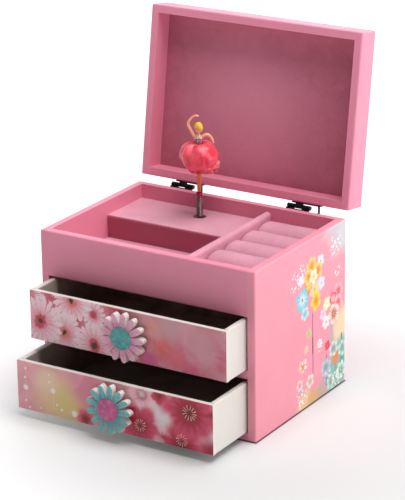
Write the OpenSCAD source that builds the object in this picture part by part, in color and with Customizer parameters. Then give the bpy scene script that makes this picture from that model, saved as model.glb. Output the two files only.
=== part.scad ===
// Ballerina jewellery box: a wooden case with a hinged lid, a velvet tray, two drawers,
// and a wind-up movement that turns a dancer on a coil spring.
// Millimetres. X runs to the right, Y to the back, Z up. The origin is on the floor,
// under the middle of the case. The lid stands open and both drawers are pulled out.

/* [Case] */
// Outer width of the case
case_width = 190; // [180:1:210]
// Outer depth of the case
case_depth = 138; // [134:1:150]
// Height of the case, floor to rim
case_height = 135; // [134:0.5:137]
// Thickness of the case and lid boards
board = 6.5; // [6:0.5:7]
// Radius on the outer corners and rims
edge_radius = 1.4; // [0.8:0.2:2]
// Thickness of the felt under the case
felt_thickness = 0.8; // [0.5:0.1:1]

/* [Lid] */
// Height of the lid, rim to top
lid_height = 22; // [20:0.5:26]
// Thickness of the lid's top board
lid_top_thickness = 3; // [2.5:0.5:3.5]
// Angle from shut to the hinge stops
lid_open_angle = 98.7; // [92:0.1:100]
// Gap between the two rims when shut
rim_gap = 0.4; // [0.3:0.1:0.6]
// Thickness of the velvet lining
lining_thickness = 1.2; // [0.8:0.2:1.6]

/* [Drawers] */
// Height of each drawer
drawer_height = 39.8; // [38:0.2:40]
// Thickness of the drawer boards
drawer_board = 4; // [3:0.5:4]
// Gap beside each drawer
drawer_side_gap = 1.6; // [1:0.1:2]
// How far the upper drawer is pulled out
upper_pull = 27.2; // [0:0.1:60]
// How far the lower drawer is pulled out
lower_pull = 46.8; // [0:0.1:80]
// Front-to-back length of the upper drawer, which stops short of the movement
upper_drawer_length = 104; // [90:1:104]
// Front-to-back length of the lower drawer
lower_drawer_length = 129; // [110:1:129]

/* [Flower knobs] */
// Petals on each knob
petal_count = 13; // [11:1:14]
// Overall radius of a flower
flower_radius = 19.6; // [18:0.2:20]
// Thickness of the petals
petal_thickness = 5.5; // [4:0.5:7]
// Radius of the raised centre
flower_centre_radius = 9; // [8:0.5:10]

/* [Tray] */
// Height of the velvet floor above the table
tray_floor_height = 105; // [104:0.5:106]
// Height of the platform over the movement
platform_height = 123.3; // [122.8:0.1:123.6]
// Front edge of the platform, from the middle of the case
platform_front = 12.8; // [10:0.2:16]
// Left face of the divider
divider_left = 25.8; // [24:0.2:30]
// Width of the divider
divider_width = 6; // [5:0.5:7]
// Height of the divider's round top
divider_top = 131; // [129:0.5:132]
// Ring rolls from front to back
roll_count = 5; // [4:1:5]
// Height of the ring rolls
roll_top = 127.5; // [126:0.5:129]

/* [Dancer] */
// Left-right place of the dancer's spindle
spindle_x = -23.3; // [-23.3:0.1:-22]
// Front-back place of the dancer's spindle
spindle_y = 45.8; // [45.6:0.1:46]
// Bottom of the coil spring
spring_bottom = 123.8; // [123.7:0.1:124]
// Length of the coil spring
spring_length = 16.2; // [15:0.1:17]
// Outer radius of the coil spring
spring_radius = 2.5; // [2.3:0.1:2.6]
// Height of the waist above the top of the spring
waist_rise = 44.2; // [43:0.1:46]
// Greatest radius of the skirt
skirt_radius = 14.8; // [13:0.1:14.8]
// Way the dancer's arms spread, turned from the X axis
dancer_turn = 32; // [0:1:60]

/* [Movement] */
// Height of the winding arbor
arbor_height = 104; // [103.8:0.1:104.2]
// Teeth of the crown wheel
crown_teeth = 30; // [30:1:30]
// Teeth of each pinion on the crown wheel
pinion_teeth = 10; // [10:1:10]
// Gear module of the crown wheel and its pinions
crown_module = 0.7; // [0.7:0.1:0.7]
// Notes on the comb
comb_notes = 18; // [12:1:18]

/* [Hidden] */
$fn = 48;
eps = 0.01;
// Body of the case
half_w = case_width / 2;
half_d = case_depth / 2;
inner_w = half_w - board;
inner_d = half_d - board;
base_top = 6.5;
drawer_lift = 0.3;
shelf_bottom = 50.2;
shelf_top = shelf_bottom + board;
rail_bottom = 98.6;
tray_board_top = 102.6;
// Boards of the drawers
drawer_half = inner_w - drawer_side_gap;
drawer_bottom_board = 3;
drawer_felt = 0.8;
lower_drawer_z = base_top + drawer_lift;
upper_drawer_z = shelf_top + drawer_lift;
// Knobs
knob_foot_radius = 7;
knob_foot_length = 2;
knob_screw_radius = 1.5;
knob_screw_head = 3.2;
flower_centre_rise = 1.2;
petal_half_width = 2.55;
// Hinges
pivot_y = half_d + 3.5;
pivot_z = case_height + 1.28;
knuckle_radius = 1.7;
hinge_pin_radius = 0.8;
hinge_running = 0.05;
leaf = 1;
hinge_starts = [-65.5, 41.4];
hinge_length = 20.5;
knuckle_step = hinge_length / 3;
lid_leaf_start = 3.6;
lid_leaf_end = 28.8;
leaf_reach = 11;
leaf_edge = 0.5;
web_reach = pivot_y - hinge_pin_radius - 0.2;
stop_arm_width = 1.5;
// Platform
platform_board = 2.5;
spindle_hole_radius = 5.2;
// Dancer
spring_top = spring_bottom + spring_length;
slipper_length = 3.9;
waist = spring_top + waist_rise;
leg_radius = 2.2;
head_centre = waist + 11.9;
fold_height = spring_bottom + 8.7;
// Movement
crown_radius = crown_module * crown_teeth / 2;
crown_half_face = 1.5;
pinion_radius = crown_module * pinion_teeth / 2;
crown_pitch_y = spindle_y + pinion_radius;
tooth_rise = 0.6;
tooth_fall = 0.9;
crown_back = crown_pitch_y + tooth_fall + 1.4;
drum_front = crown_back + 0.4;
drum_radius = 12;
drum_wall = 0.8;
plate_front = inner_d - 2;
arbor_radius = 2;
shaft_running = 0.05;
cylinder_radius = 6.5;
cylinder_left = -57.5;
cylinder_right = -38;
pin_height = 0.7;
wheel_module = 0.4;
wheel_teeth = 36;
governor_pinion_teeth = 9;
worm_wheel_teeth = 24;
wheel_left = -60;
wheel_face = 1.2;
governor_z = arbor_height + wheel_module * (wheel_teeth + governor_pinion_teeth) / 2;
worm_wheel_x = -64.4;
worm_x = worm_wheel_x + wheel_face / 2;
worm_radius = 1.25;
worm_throw = 0.35;
worm_y = spindle_y - wheel_module * worm_wheel_teeth / 2 - worm_radius - 0.25;
worm_lead = PI * wheel_module;
worm_length = 3;
bracket = 1.2;
end_bracket_x = -62.6;
fan_bracket_x = -69.6;

// Colours
pink = [0.95, 0.62, 0.70];
velvet = [0.86, 0.55, 0.64];
dark_velvet = [0.70, 0.38, 0.47];
white_paint = [0.95, 0.94, 0.93];
black_felt = [0.10, 0.09, 0.09];
black_metal = [0.08, 0.08, 0.08];
steel = [0.66, 0.66, 0.68];
brass_gold = [0.80, 0.65, 0.32];

// ---- Shared shapes ----

// A box given by its two corners
module block(low, high) translate(low) cube(high - low);

// Extrudes an XZ outline along Y, and a YZ outline along X
module along_y(y0, y1) translate([0, y1, 0]) rotate([90, 0, 0]) linear_extrude(y1 - y0) children();
module along_x(x0, x1) translate([x0, 0, 0]) rotate([90, 0, 90]) linear_extrude(x1 - x0) children();

// A rod along Y or X, from one place to another
module rod_y(x, z, y0, y1, r) translate([x, y0, z]) rotate([-90, 0, 0]) cylinder(r = r, h = y1 - y0);
module rod_x(y, z, x0, x1, r) translate([x0, y, z]) rotate([0, 90, 0]) cylinder(r = r, h = x1 - x0);

// The waste of one rounded corner, which points to the origin
module corner_waste(r) difference() {
    translate([-1, -1]) square(r + 1);
    translate([r, r]) circle(r);
}

// A rectangle with chosen corners rounded: [low low, high low, high high, low high]
module soft_rect(low, high, r, corners = [1, 1, 1, 1]) difference() {
    translate(low) square(high - low);
    if (corners[0] == 1) translate(low) corner_waste(r);
    if (corners[1] == 1) translate([high.x, low.y]) mirror([1, 0]) corner_waste(r);
    if (corners[2] == 1) translate(high) rotate(180) corner_waste(r);
    if (corners[3] == 1) translate([low.x, high.y]) mirror([0, 1]) corner_waste(r);
}

// A spur gear's outline, with straight-sided teeth thinned for free running
function gear_points(teeth, m) = [
    for (i = [0:teeth - 1]) for (p = [
        [teeth * m / 2 - tooth_fall * m / crown_module, -0.26],
        [teeth * m / 2 + tooth_rise * m / crown_module, -0.11],
        [teeth * m / 2 + tooth_rise * m / crown_module, 0.11],
        [teeth * m / 2 - tooth_fall * m / crown_module, 0.26]
    ]) let (a = 360 * (i + p[1]) / teeth) p[0] * [cos(a), sin(a)]
];
module gear_outline(teeth, m) polygon(gear_points(teeth, m));

// ---- Case ----

module case_side() {
    intersection() {
        linear_extrude(case_height)
            soft_rect([-half_w, -half_d], [-inner_w, half_d], edge_radius, [1, 0, 0, 1]);
        along_y(-half_d, half_d)
            soft_rect([-half_w, felt_thickness], [-inner_w, case_height], edge_radius, [0, 0, 0, 1]);
        along_x(-half_w, -inner_w)
            soft_rect([-half_d, felt_thickness], [half_d, case_height], edge_radius, [0, 0, 1, 1]);
    }
}
module left_side() color(pink) case_side();
module right_side() color(pink) mirror([1, 0, 0]) case_side();

module back_panel() color(pink) difference() {
    along_x(-inner_w, inner_w)
        soft_rect([inner_d, felt_thickness], [half_d, case_height], edge_radius, [0, 0, 1, 0]);
    case_screw_rods(0.72);
    rod_y(spindle_x, arbor_height, inner_d - 1, half_d + 1, 5);
    plate_screw_rods(1.12);
}

module front_rail() color(pink)
    along_x(-inner_w, inner_w)
        soft_rect([-half_d, rail_bottom], [-inner_d, case_height], edge_radius, [1, 0, 0, 1]);

module base_panel() color(pink)
    block([-inner_w, -half_d, felt_thickness], [inner_w, inner_d, base_top]);

module drawer_shelf() color(pink)
    block([-inner_w, -half_d, shelf_bottom], [inner_w, inner_d, shelf_top]);

module base_felt() color(black_felt)
    linear_extrude(felt_thickness)
        soft_rect([-half_w + 2, -half_d + 2], [half_w - 2, half_d - 2], 3);

// ---- Tray ----

// The well that the movement hangs in, behind the upper drawer
module movement_well(margin = 0)
    block([-73 + margin, 36 + margin, rail_bottom - 1], [-7 - margin, inner_d + 1, tray_floor_height + 1]);

module tray_floor() color(pink) difference() {
    block([-inner_w, -inner_d, rail_bottom], [inner_w, inner_d, tray_board_top]);
    movement_well();
}

module tray_lining() color(velvet)
    block([-inner_w, -inner_d, tray_board_top], [divider_left, platform_front, tray_floor_height]);

module platform_top() color(velvet) difference() {
    along_x(-inner_w, divider_left)
        soft_rect([platform_front, platform_height - platform_board], [inner_d, platform_height],
                  1.6, [0, 0, 0, 1]);
    translate([spindle_x, spindle_y, 0]) cylinder(r = spindle_hole_radius, h = 200);
}

module platform_front_board() color(dark_velvet)
    block([-inner_w, platform_front, tray_board_top],
          [divider_left, platform_front + platform_board, platform_height - platform_board]);

module divider() color(velvet)
    along_y(-inner_d, inner_d)
        soft_rect([divider_left, tray_board_top], [divider_left + divider_width, divider_top],
                  divider_width / 2 - eps, [0, 0, 1, 1]);

// Padded rolls: rings stand in the valleys between their round tops
roll_left = divider_left + divider_width + 0.2;
roll_pitch = 2 * inner_d / roll_count;
roll_round = 10.5;
roll_gap = 0.4;
module ring_rolls() color(velvet)
    for (i = [0:roll_count - 1])
        along_x(roll_left, inner_w - 0.2)
            soft_rect([-inner_d + i * roll_pitch + roll_gap / 2, tray_board_top],
                      [-inner_d + (i + 1) * roll_pitch - roll_gap / 2, roll_top],
                      roll_round, [0, 0, 1, 1]);

// ---- Drawers ----

// Each piece is drawn shut, with its front flush with the case
module drawer_front(z, color_value) color(color_value) difference() {
    along_x(-drawer_half, drawer_half)
        soft_rect([-half_d, z], [-half_d + drawer_board, z + drawer_height], 0.8);
    rod_y(0, z + drawer_height / 2, -half_d - 1, -half_d + drawer_board + 1, knob_screw_radius + 0.05);
}

module drawer_side(z, length, side) color(white_paint) mirror([side < 0 ? 0 : 1, 0, 0])
    along_y(-half_d + drawer_board, -half_d + length)
        soft_rect([-drawer_half, z], [-drawer_half + drawer_board, z + drawer_height], 0.6);

module drawer_back(z, length) color(white_paint)
    along_x(-drawer_half + drawer_board, drawer_half - drawer_board)
        soft_rect([-half_d + length - drawer_board, z], [-half_d + length, z + drawer_height], 0.6,
                  [0, 0, 1, 1]);

module drawer_bottom(z, length) color(white_paint)
    block([-drawer_half + drawer_board, -half_d + drawer_board, z],
          [drawer_half - drawer_board, -half_d + length - drawer_board, z + drawer_bottom_board]);

module drawer_lining(z, length) color(black_felt) {
    x = drawer_half - drawer_board;
    low = [-x, -half_d + drawer_board, z + drawer_bottom_board];
    high = [x, -half_d + length - drawer_board, z + drawer_height - 0.6];
    wall = [drawer_felt, drawer_felt, drawer_felt];
    difference() {
        block(low, high);
        block(low + wall, [high.x - drawer_felt, high.y - drawer_felt, high.z + 1]);
        rod_y(0, z + drawer_height / 2, low.y - 1, low.y + 2, knob_screw_radius + 0.05);
    }
}

// A flower cut from thick board: petals round a disc, on a short foot
module flower(z, color_value) color(color_value) difference() {
    union() {
        along_y(-half_d - knob_foot_length - petal_thickness, -half_d - knob_foot_length)
            translate([0, z]) {
                circle(flower_radius * 0.55);
                for (i = [0:petal_count - 1]) rotate(i * 360 / petal_count) {
                    translate([0, -petal_half_width])
                        square([flower_radius - petal_half_width, 2 * petal_half_width]);
                    translate([flower_radius - petal_half_width, 0]) circle(petal_half_width);
                }
            }
        rod_y(0, z, -half_d - knob_foot_length - eps, -half_d, knob_foot_radius);
    }
    rod_y(0, z, -half_d - 6, -half_d + 1, knob_screw_radius + 0.05);
}

module flower_centre(z, color_value) color(color_value)
    rod_y(0, z, -half_d - knob_foot_length - petal_thickness - flower_centre_rise,
          -half_d - knob_foot_length - petal_thickness, flower_centre_radius);

module knob_screw(z) color(steel) {
    head_y = -half_d + drawer_board + drawer_felt;
    rod_y(0, z, -half_d - 5, head_y, knob_screw_radius);
    rod_y(0, z, head_y, head_y + 1.6, knob_screw_head);
}

module pulled(distance) translate([0, -distance, 0]) children();
upper_knob_z = upper_drawer_z + drawer_height / 2;
lower_knob_z = lower_drawer_z + drawer_height / 2;

module upper_front() pulled(upper_pull) drawer_front(upper_drawer_z, [0.93, 0.60, 0.66]);
module upper_left() pulled(upper_pull) drawer_side(upper_drawer_z, upper_drawer_length, -1);
module upper_right() pulled(upper_pull) drawer_side(upper_drawer_z, upper_drawer_length, 1);
module upper_back() pulled(upper_pull) drawer_back(upper_drawer_z, upper_drawer_length);
module upper_bottom() pulled(upper_pull) drawer_bottom(upper_drawer_z, upper_drawer_length);
module upper_lining() pulled(upper_pull) drawer_lining(upper_drawer_z, upper_drawer_length);
module upper_flower() pulled(upper_pull) flower(upper_knob_z, [0.93, 0.70, 0.80]);
module upper_flower_centre() pulled(upper_pull) flower_centre(upper_knob_z, [0.35, 0.66, 0.66]);
module upper_knob_screw() pulled(upper_pull) knob_screw(upper_knob_z);

module lower_front() pulled(lower_pull) drawer_front(lower_drawer_z, [0.88, 0.55, 0.62]);
module lower_left() pulled(lower_pull) drawer_side(lower_drawer_z, lower_drawer_length, -1);
module lower_right() pulled(lower_pull) drawer_side(lower_drawer_z, lower_drawer_length, 1);
module lower_back() pulled(lower_pull) drawer_back(lower_drawer_z, lower_drawer_length);
module lower_bottom() pulled(lower_pull) drawer_bottom(lower_drawer_z, lower_drawer_length);
module lower_lining() pulled(lower_pull) drawer_lining(lower_drawer_z, lower_drawer_length);
module lower_flower() pulled(lower_pull) flower(lower_knob_z, [0.45, 0.72, 0.74]);
module lower_flower_centre() pulled(lower_pull) flower_centre(lower_knob_z, [0.88, 0.45, 0.62]);
module lower_knob_screw() pulled(lower_pull) knob_screw(lower_knob_z);

// ---- Lid, drawn shut and then swung open about the hinge pins ----

lid_rim = case_height + rim_gap;
lid_board_z = lid_rim + lid_height - lid_top_thickness;
lid_top_z = lid_rim + lid_height;

module swung_open()
    translate([0, pivot_y, pivot_z]) rotate([-lid_open_angle, 0, 0])
        translate([0, -pivot_y, -pivot_z]) children();

module lid_side_rail() intersection() {
    translate([0, 0, lid_rim]) linear_extrude(lid_board_z - lid_rim)
        soft_rect([-half_w, -half_d], [-inner_w, half_d], edge_radius, [1, 0, 0, 1]);
    along_y(-half_d, half_d)
        soft_rect([-half_w, lid_rim], [-inner_w, lid_board_z], edge_radius, [1, 0, 0, 0]);
    along_x(-half_w, -inner_w)
        soft_rect([-half_d, lid_rim], [half_d, lid_board_z], edge_radius, [1, 1, 0, 0]);
}
module lid_left() swung_open() color(pink) lid_side_rail();
module lid_right() swung_open() color(pink) mirror([1, 0, 0]) lid_side_rail();

module lid_front() swung_open() color(pink)
    along_x(-inner_w, inner_w)
        soft_rect([-half_d, lid_rim], [-inner_d, lid_board_z], edge_radius, [1, 0, 0, 0]);

module lid_back() swung_open() color(pink) difference() {
    along_x(-inner_w, inner_w)
        soft_rect([inner_d, lid_rim], [half_d, lid_board_z], edge_radius, [0, 1, 0, 0]);
    lid_screw_rods(0.72);
}

module lid_top() swung_open() color(pink) intersection() {
    translate([0, 0, lid_board_z]) linear_extrude(lid_top_thickness)
        soft_rect([-half_w, -half_d], [half_w, half_d], edge_radius);
    along_y(-half_d, half_d)
        soft_rect([-half_w, lid_board_z], [half_w, lid_top_z], edge_radius, [0, 0, 1, 1]);
    along_x(-half_w, half_w)
        soft_rect([-half_d, lid_board_z], [half_d, lid_top_z], edge_radius, [0, 0, 1, 1]);
}

module lid_lining() swung_open() color(dark_velvet)
    block([-inner_w, -inner_d, lid_board_z - lining_thickness], [inner_w, inner_d, lid_board_z]);

// ---- Hinges ----

module knuckles(numbers, bore) difference() {
    for (x = hinge_starts) for (i = numbers)
        rod_x(pivot_y, pivot_z, x + i * knuckle_step + 0.1, x + (i + 1) * knuckle_step - 0.1,
              knuckle_radius);
    for (x = hinge_starts) rod_x(pivot_y, pivot_z, x - 1, x + hinge_length + 1, bore);
}

// Screws stand level in the back faces of the case and the lid
hinge_screw_drop = 7;
hinge_screw_length = 5;
hinge_screw_places = [for (x = hinge_starts) for (step = [4.5, 16]) x + step];
lid_screw_places = [for (x = hinge_starts) for (step = [9, 22]) x + step];
module case_screw_rods(r) for (x = hinge_screw_places)
    rod_y(x, case_height - hinge_screw_drop, half_d - hinge_screw_length, half_d, r);
module lid_screw_rods(r) for (x = lid_screw_places)
    rod_y(x, lid_rim + hinge_screw_drop, half_d - hinge_screw_length, half_d, r);

module hinge_case_leaves() color(black_metal) difference() {
    union() {
        knuckles([0, 2], hinge_pin_radius + hinge_running);
        for (x = hinge_starts) {
            block([x + 0.1, half_d, case_height - leaf_reach],
                  [x + hinge_length - 0.1, half_d + leaf, case_height]);
            for (i = [0, 2])
                block([x + i * knuckle_step + 0.1, half_d, case_height - leaf_edge],
                      [x + (i + 1) * knuckle_step - 0.1, web_reach, case_height + leaf_edge]);
        }
    }
    for (x = hinge_screw_places)
        rod_y(x, case_height - hinge_screw_drop, half_d - 1, half_d + 2 * leaf, 1.42);
}

module hinge_lid_leaves() color(black_metal) {
    swung_open() difference() {
        union() {
            knuckles([1], hinge_pin_radius + hinge_running);
            for (x = hinge_starts) {
                block([x + lid_leaf_start, half_d, lid_rim + leaf_edge],
                      [x + lid_leaf_end, half_d + leaf, lid_rim + leaf_reach]);
                block([x + knuckle_step + 0.1, half_d, lid_rim + leaf_edge],
                      [x + 2 * knuckle_step - 0.1, web_reach, lid_rim + 3 * leaf_edge]);
            }
        }
        for (x = lid_screw_places)
            rod_y(x, lid_rim + hinge_screw_drop, half_d - 1, half_d + 2 * leaf, 1.42);
    }
    // The stop arm hooks round the pin and meets the back of the case
    for (x = hinge_starts) translate([x + lid_leaf_end - stop_arm_width, pivot_y, pivot_z]) {
        block([0, -0.95, 2.6], [stop_arm_width, 1.2, 3.2]);
        block([0, -0.95, -2.9], [stop_arm_width, -0.1, 3.2]);
        block([0, half_d - pivot_y + 0.12, -2.9], [stop_arm_width, -0.1, -2.1]);
    }
}

module hinge_pins() color(black_metal)
    for (x = hinge_starts) rod_x(pivot_y, pivot_z, x, x + hinge_length, hinge_pin_radius);

module hinge_screws(places, z) for (x = places) {
    rod_y(x, z, half_d - hinge_screw_length, half_d, 0.7);
    rod_y(x, z, half_d, half_d + leaf - 0.05, 1.4);
}
module hinge_case_screws() color(steel) hinge_screws(hinge_screw_places, case_height - hinge_screw_drop);
module hinge_lid_screws() swung_open() color(steel)
    hinge_screws(lid_screw_places, lid_rim + hinge_screw_drop);

// ---- Movement: fixed pieces ----

plate_low = [-72, 84];
plate_high = [-9, 119.5];
module plate_screw_rods(r)
    for (p = [[-65.5, 87], [-65.5, 117], [-12.5, 87], [-12.5, 117]])
        rod_y(p.x, p.y, plate_front - 0.01, half_d - 2, r);

module movement_plate() color(steel) difference() {
    block([plate_low.x, plate_front, plate_low.y], [plate_high.x, inner_d, plate_high.y]);
    rod_y(spindle_x, arbor_height, plate_front - 1, inner_d + 1, arbor_radius + shaft_running);
    plate_screw_rods(1.12);
}

module spring_drum() color(brass_gold) difference() {
    rod_y(spindle_x, arbor_height, drum_front, plate_front, drum_radius);
    rod_y(spindle_x, arbor_height, drum_front + drum_wall, plate_front + 1, drum_radius - drum_wall);
    rod_y(spindle_x, arbor_height, drum_front - 1, plate_front, arbor_radius + shaft_running);
}

// A flat strip coiled round the arbor
spiral_turns = 7;
spiral_start = 2.5;
spiral_growth = 1.15;
strip = 0.3;
spiral_steps = 24 * spiral_turns;
function spiral_point(i, extra) =
    let (a = 360 * i / 24) (spiral_start + spiral_growth * i / 24 + extra) * [cos(a), sin(a)];
module mainspring() color(steel) translate([spindle_x, 0, arbor_height])
    along_y(drum_front + drum_wall + 0.4, plate_front - 0.4)
        polygon(concat([for (i = [0:spiral_steps]) spiral_point(i, 0)],
                       [for (i = [spiral_steps:-1:0]) spiral_point(i, strip)]));

comb_front = spindle_y - 0.5;
comb_back = spindle_y + 0.3;
comb_tip = arbor_height - cylinder_radius - pin_height - 0.3;
comb_pitch = (cylinder_right - cylinder_left - 1.2) / comb_notes;
comb_screw_places = [[-52.5, 86], [-43, 86]];
module comb_screw_rods(r) for (p = comb_screw_places) rod_y(p.x, p.y, comb_front, comb_back + 5, r);

module comb() color(steel) difference() {
    block([cylinder_left + 0.6, comb_front, plate_low.y], [cylinder_right - 0.6, comb_back, comb_tip]);
    for (i = [1:comb_notes - 1])
        translate([cylinder_left + 0.6 + i * comb_pitch - 0.12, comb_front - 1, plate_low.y + 4.6])
            cube([0.24, 3, 20]);
    comb_screw_rods(0.95);
}

module movement_brackets() color(brass_gold) {
    // Arm over the dancer's pinion
    difference() {
        block([spindle_x - 5, 41, 117], [spindle_x + 5, plate_front, 119]);
        translate([spindle_x, spindle_y, 110]) cylinder(r = 1.25 + shaft_running, h = 20);
    }
    // Bearings at the two ends of the cylinder; the left one also holds the governor wheel
    difference() {
        block([-37.2, 43, 100.5], [-37.2 + bracket, plate_front, 107.5]);
        rod_x(spindle_y, arbor_height, -39, -34, 1 + shaft_running);
    }
    difference() {
        block([end_bracket_x, 43.8, 100.5], [end_bracket_x + bracket, plate_front, 116]);
        rod_x(spindle_y, arbor_height, end_bracket_x - 1, end_bracket_x + 3, 1 + shaft_running);
        rod_x(spindle_y, governor_z, end_bracket_x - 1, end_bracket_x + 3, 0.6 + shaft_running);
    }
    // Cage of the fan
    difference() {
        union() {
            block([fan_bracket_x, worm_y - 1.7, 102.8], [fan_bracket_x + bracket, plate_front, 118]);
            for (z = [102.8, 117])
                block([fan_bracket_x + bracket - eps, worm_y - 1.7, z], [worm_x + 1.8, worm_y + 1.7, z + 1]);
        }
        translate([worm_x, worm_y, 100]) cylinder(r = 0.5 + shaft_running, h = 20);
    }
    // Block that carries the comb
    difference() {
        block([cylinder_left + 0.6, comb_back, plate_low.y], [cylinder_right - 0.6, plate_front, 88]);
        comb_screw_rods(0.95);
    }
}

module movement_screws() color(steel) {
    comb_screw_rods(0.9);
    for (p = comb_screw_places) rod_y(p.x, p.y, comb_front - 1, comb_front, 1.7);
    plate_screw_rods(1.1);
    for (p = [[-65.5, 87], [-65.5, 117], [-12.5, 87], [-12.5, 117]])
        rod_y(p.x, p.y, plate_front - 1.2, plate_front, 2);
}

// ---- Movement: turning pieces ----

module crown_wheel() color(brass_gold) translate([spindle_x, 0, arbor_height]) {
    face = crown_pitch_y + tooth_fall;
    difference() {
        rod_y(0, 0, face, crown_back, crown_radius + crown_half_face);
        rod_y(0, 0, face - 1, crown_back + 1, arbor_radius + 0.01);
    }
    pitch = 2 * PI * crown_radius / crown_teeth;
    for (i = [0:crown_teeth - 1]) rotate([0, (i + 0.5) * 360 / crown_teeth, 0])
        translate([0, 0, crown_radius - crown_half_face]) linear_extrude(2 * crown_half_face - 0.1)
            polygon([[-0.26 * pitch, face + 0.05], [-0.11 * pitch, crown_pitch_y - tooth_rise],
                     [0.11 * pitch, crown_pitch_y - tooth_rise], [0.26 * pitch, face + 0.05]]);
}

module winding_arbor() color(steel)
    rod_y(spindle_x, arbor_height, crown_pitch_y - tooth_rise, half_d + 8, arbor_radius);

module winding_key() color(brass_gold) translate([spindle_x, 0, arbor_height]) {
    difference() {
        rod_y(0, 0, half_d + 2.5, half_d + 11, 4);
        rod_y(0, 0, half_d + 2, half_d + 8, arbor_radius + 0.02);
    }
    // Two flat wings in line with the shaft
    linear_extrude(1.8, center = true) difference() {
        union() {
            translate([-9, half_d + 9]) square([18, 5]);
            for (s = [-1, 1]) translate([s * 8.5, half_d + 14]) circle(6);
        }
        translate([-4.2, half_d + 5]) square([8.4, 5.9]);
        for (s = [-1, 1]) translate([s * 8.5, half_d + 14]) circle(2.4);
    }
}

module dancer_shaft() color(steel) translate([spindle_x, spindle_y, 0]) {
    translate([0, 0, arbor_height + 6.5]) cylinder(r = 1.25, h = spring_bottom - arbor_height - 6.5);
    translate([0, 0, spring_bottom - 2.2]) cylinder(r = 2.3, h = 2);
    translate([0, 0, spring_bottom - 0.3]) cylinder(r = 1.7, h = 3.3);
    translate([0, 0, arbor_height + crown_radius - crown_half_face])
        linear_extrude(2 * crown_half_face) rotate(90) gear_outline(pinion_teeth, crown_module);
}

module cylinder_pins(r) for (i = [0:comb_notes * 3 - 1])
    translate([cylinder_left + 1.1 + (i % comb_notes) * comb_pitch, spindle_y, arbor_height])
        rotate([i * 137.5, 0, 0]) cylinder(r = r, h = cylinder_radius + pin_height, $fn = 6);

module note_cylinder() color(brass_gold) {
    rod_x(spindle_y, arbor_height, cylinder_left, cylinder_right, cylinder_radius);
    cylinder_pins(0.2);
    rod_x(spindle_y, arbor_height, end_bracket_x - 0.6, spindle_x - crown_radius + crown_half_face, 1);
    translate([spindle_x - crown_radius - crown_half_face, spindle_y, arbor_height])
        rotate([90, 0, 90]) linear_extrude(2 * crown_half_face) rotate(180 / pinion_teeth)
            gear_outline(pinion_teeth, crown_module);
    translate([wheel_left, spindle_y, arbor_height])
        rotate([90, 0, 90]) linear_extrude(wheel_face) rotate(90 + 180 / wheel_teeth)
            gear_outline(wheel_teeth, wheel_module);
}

module governor_wheel() color(steel) {
    rod_x(spindle_y, governor_z, worm_wheel_x - 0.5, wheel_left + wheel_face + 0.3, 0.6);
    translate([wheel_left - 0.2, spindle_y, governor_z])
        rotate([90, 0, 90]) linear_extrude(wheel_face + 0.4) rotate(-90)
            gear_outline(governor_pinion_teeth, wheel_module);
    translate([worm_wheel_x, spindle_y, governor_z])
        rotate([90, 0, 90]) linear_extrude(wheel_face) rotate(180)
            gear_outline(worm_wheel_teeth, wheel_module);
}

fan_radius = 3.3;
module governor_fan() color(steel) translate([worm_x, worm_y, 0]) {
    translate([0, 0, 102.9]) cylinder(r = 0.5, h = 15);
    translate([0, 0, governor_z - worm_length / 2]) rotate(270 + 180 * worm_length / worm_lead)
        linear_extrude(worm_length, twist = 360 * worm_length / worm_lead, slices = 24)
            translate([worm_throw, 0]) circle(worm_radius - 0.1, $fn = 16);
    translate([-fan_radius, -0.25, 104.2]) cube([2 * fan_radius, 0.5, 4.4]);
}

// ---- Dancer ----

module dancer_spring() color(steel) translate([spindle_x, spindle_y, spring_bottom])
    difference() {
        cylinder(r = spring_radius, h = spring_length);
        translate([0, 0, -1]) cylinder(r = spring_radius - 0.7, h = spring_length + 2);
    }

module at_spindle() translate([spindle_x, spindle_y, 0]) rotate(dancer_turn) children();

module slipper() color([0.78, 0.12, 0.35]) at_spindle() {
    translate([0, 0, spring_top]) cylinder(r = 2.65, h = slipper_length);
    translate([0, 0, spring_top - 2.5]) cylinder(r = 1.7, h = 3);
}

// A tube of eight sides along a path, with a radius for each of its points
function unit(v) = v / norm(v);
function ring(p, t, r) = let (n = unit(cross([0, 1, 0], t)), b = cross(t, n))
    [for (k = [0:7]) p + r * (cos(45 * k) * n + sin(45 * k) * b)];
module tube(path, radii) {
    last = len(path) - 1;
    points = [for (i = [0:last]) each
        ring(path[i], unit(path[min(i + 1, last)] - path[max(i - 1, 0)]), radii[i])];
    sides = [for (i = [0:last - 1]) for (k = [0:7])
        [i * 8 + k, (i + 1) * 8 + k, (i + 1) * 8 + (k + 1) % 8, i * 8 + (k + 1) % 8]];
    polyhedron(points, concat([[for (k = [0:7]) k]], sides, [[for (k = [7:-1:0]) last * 8 + k]]));
}

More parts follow.
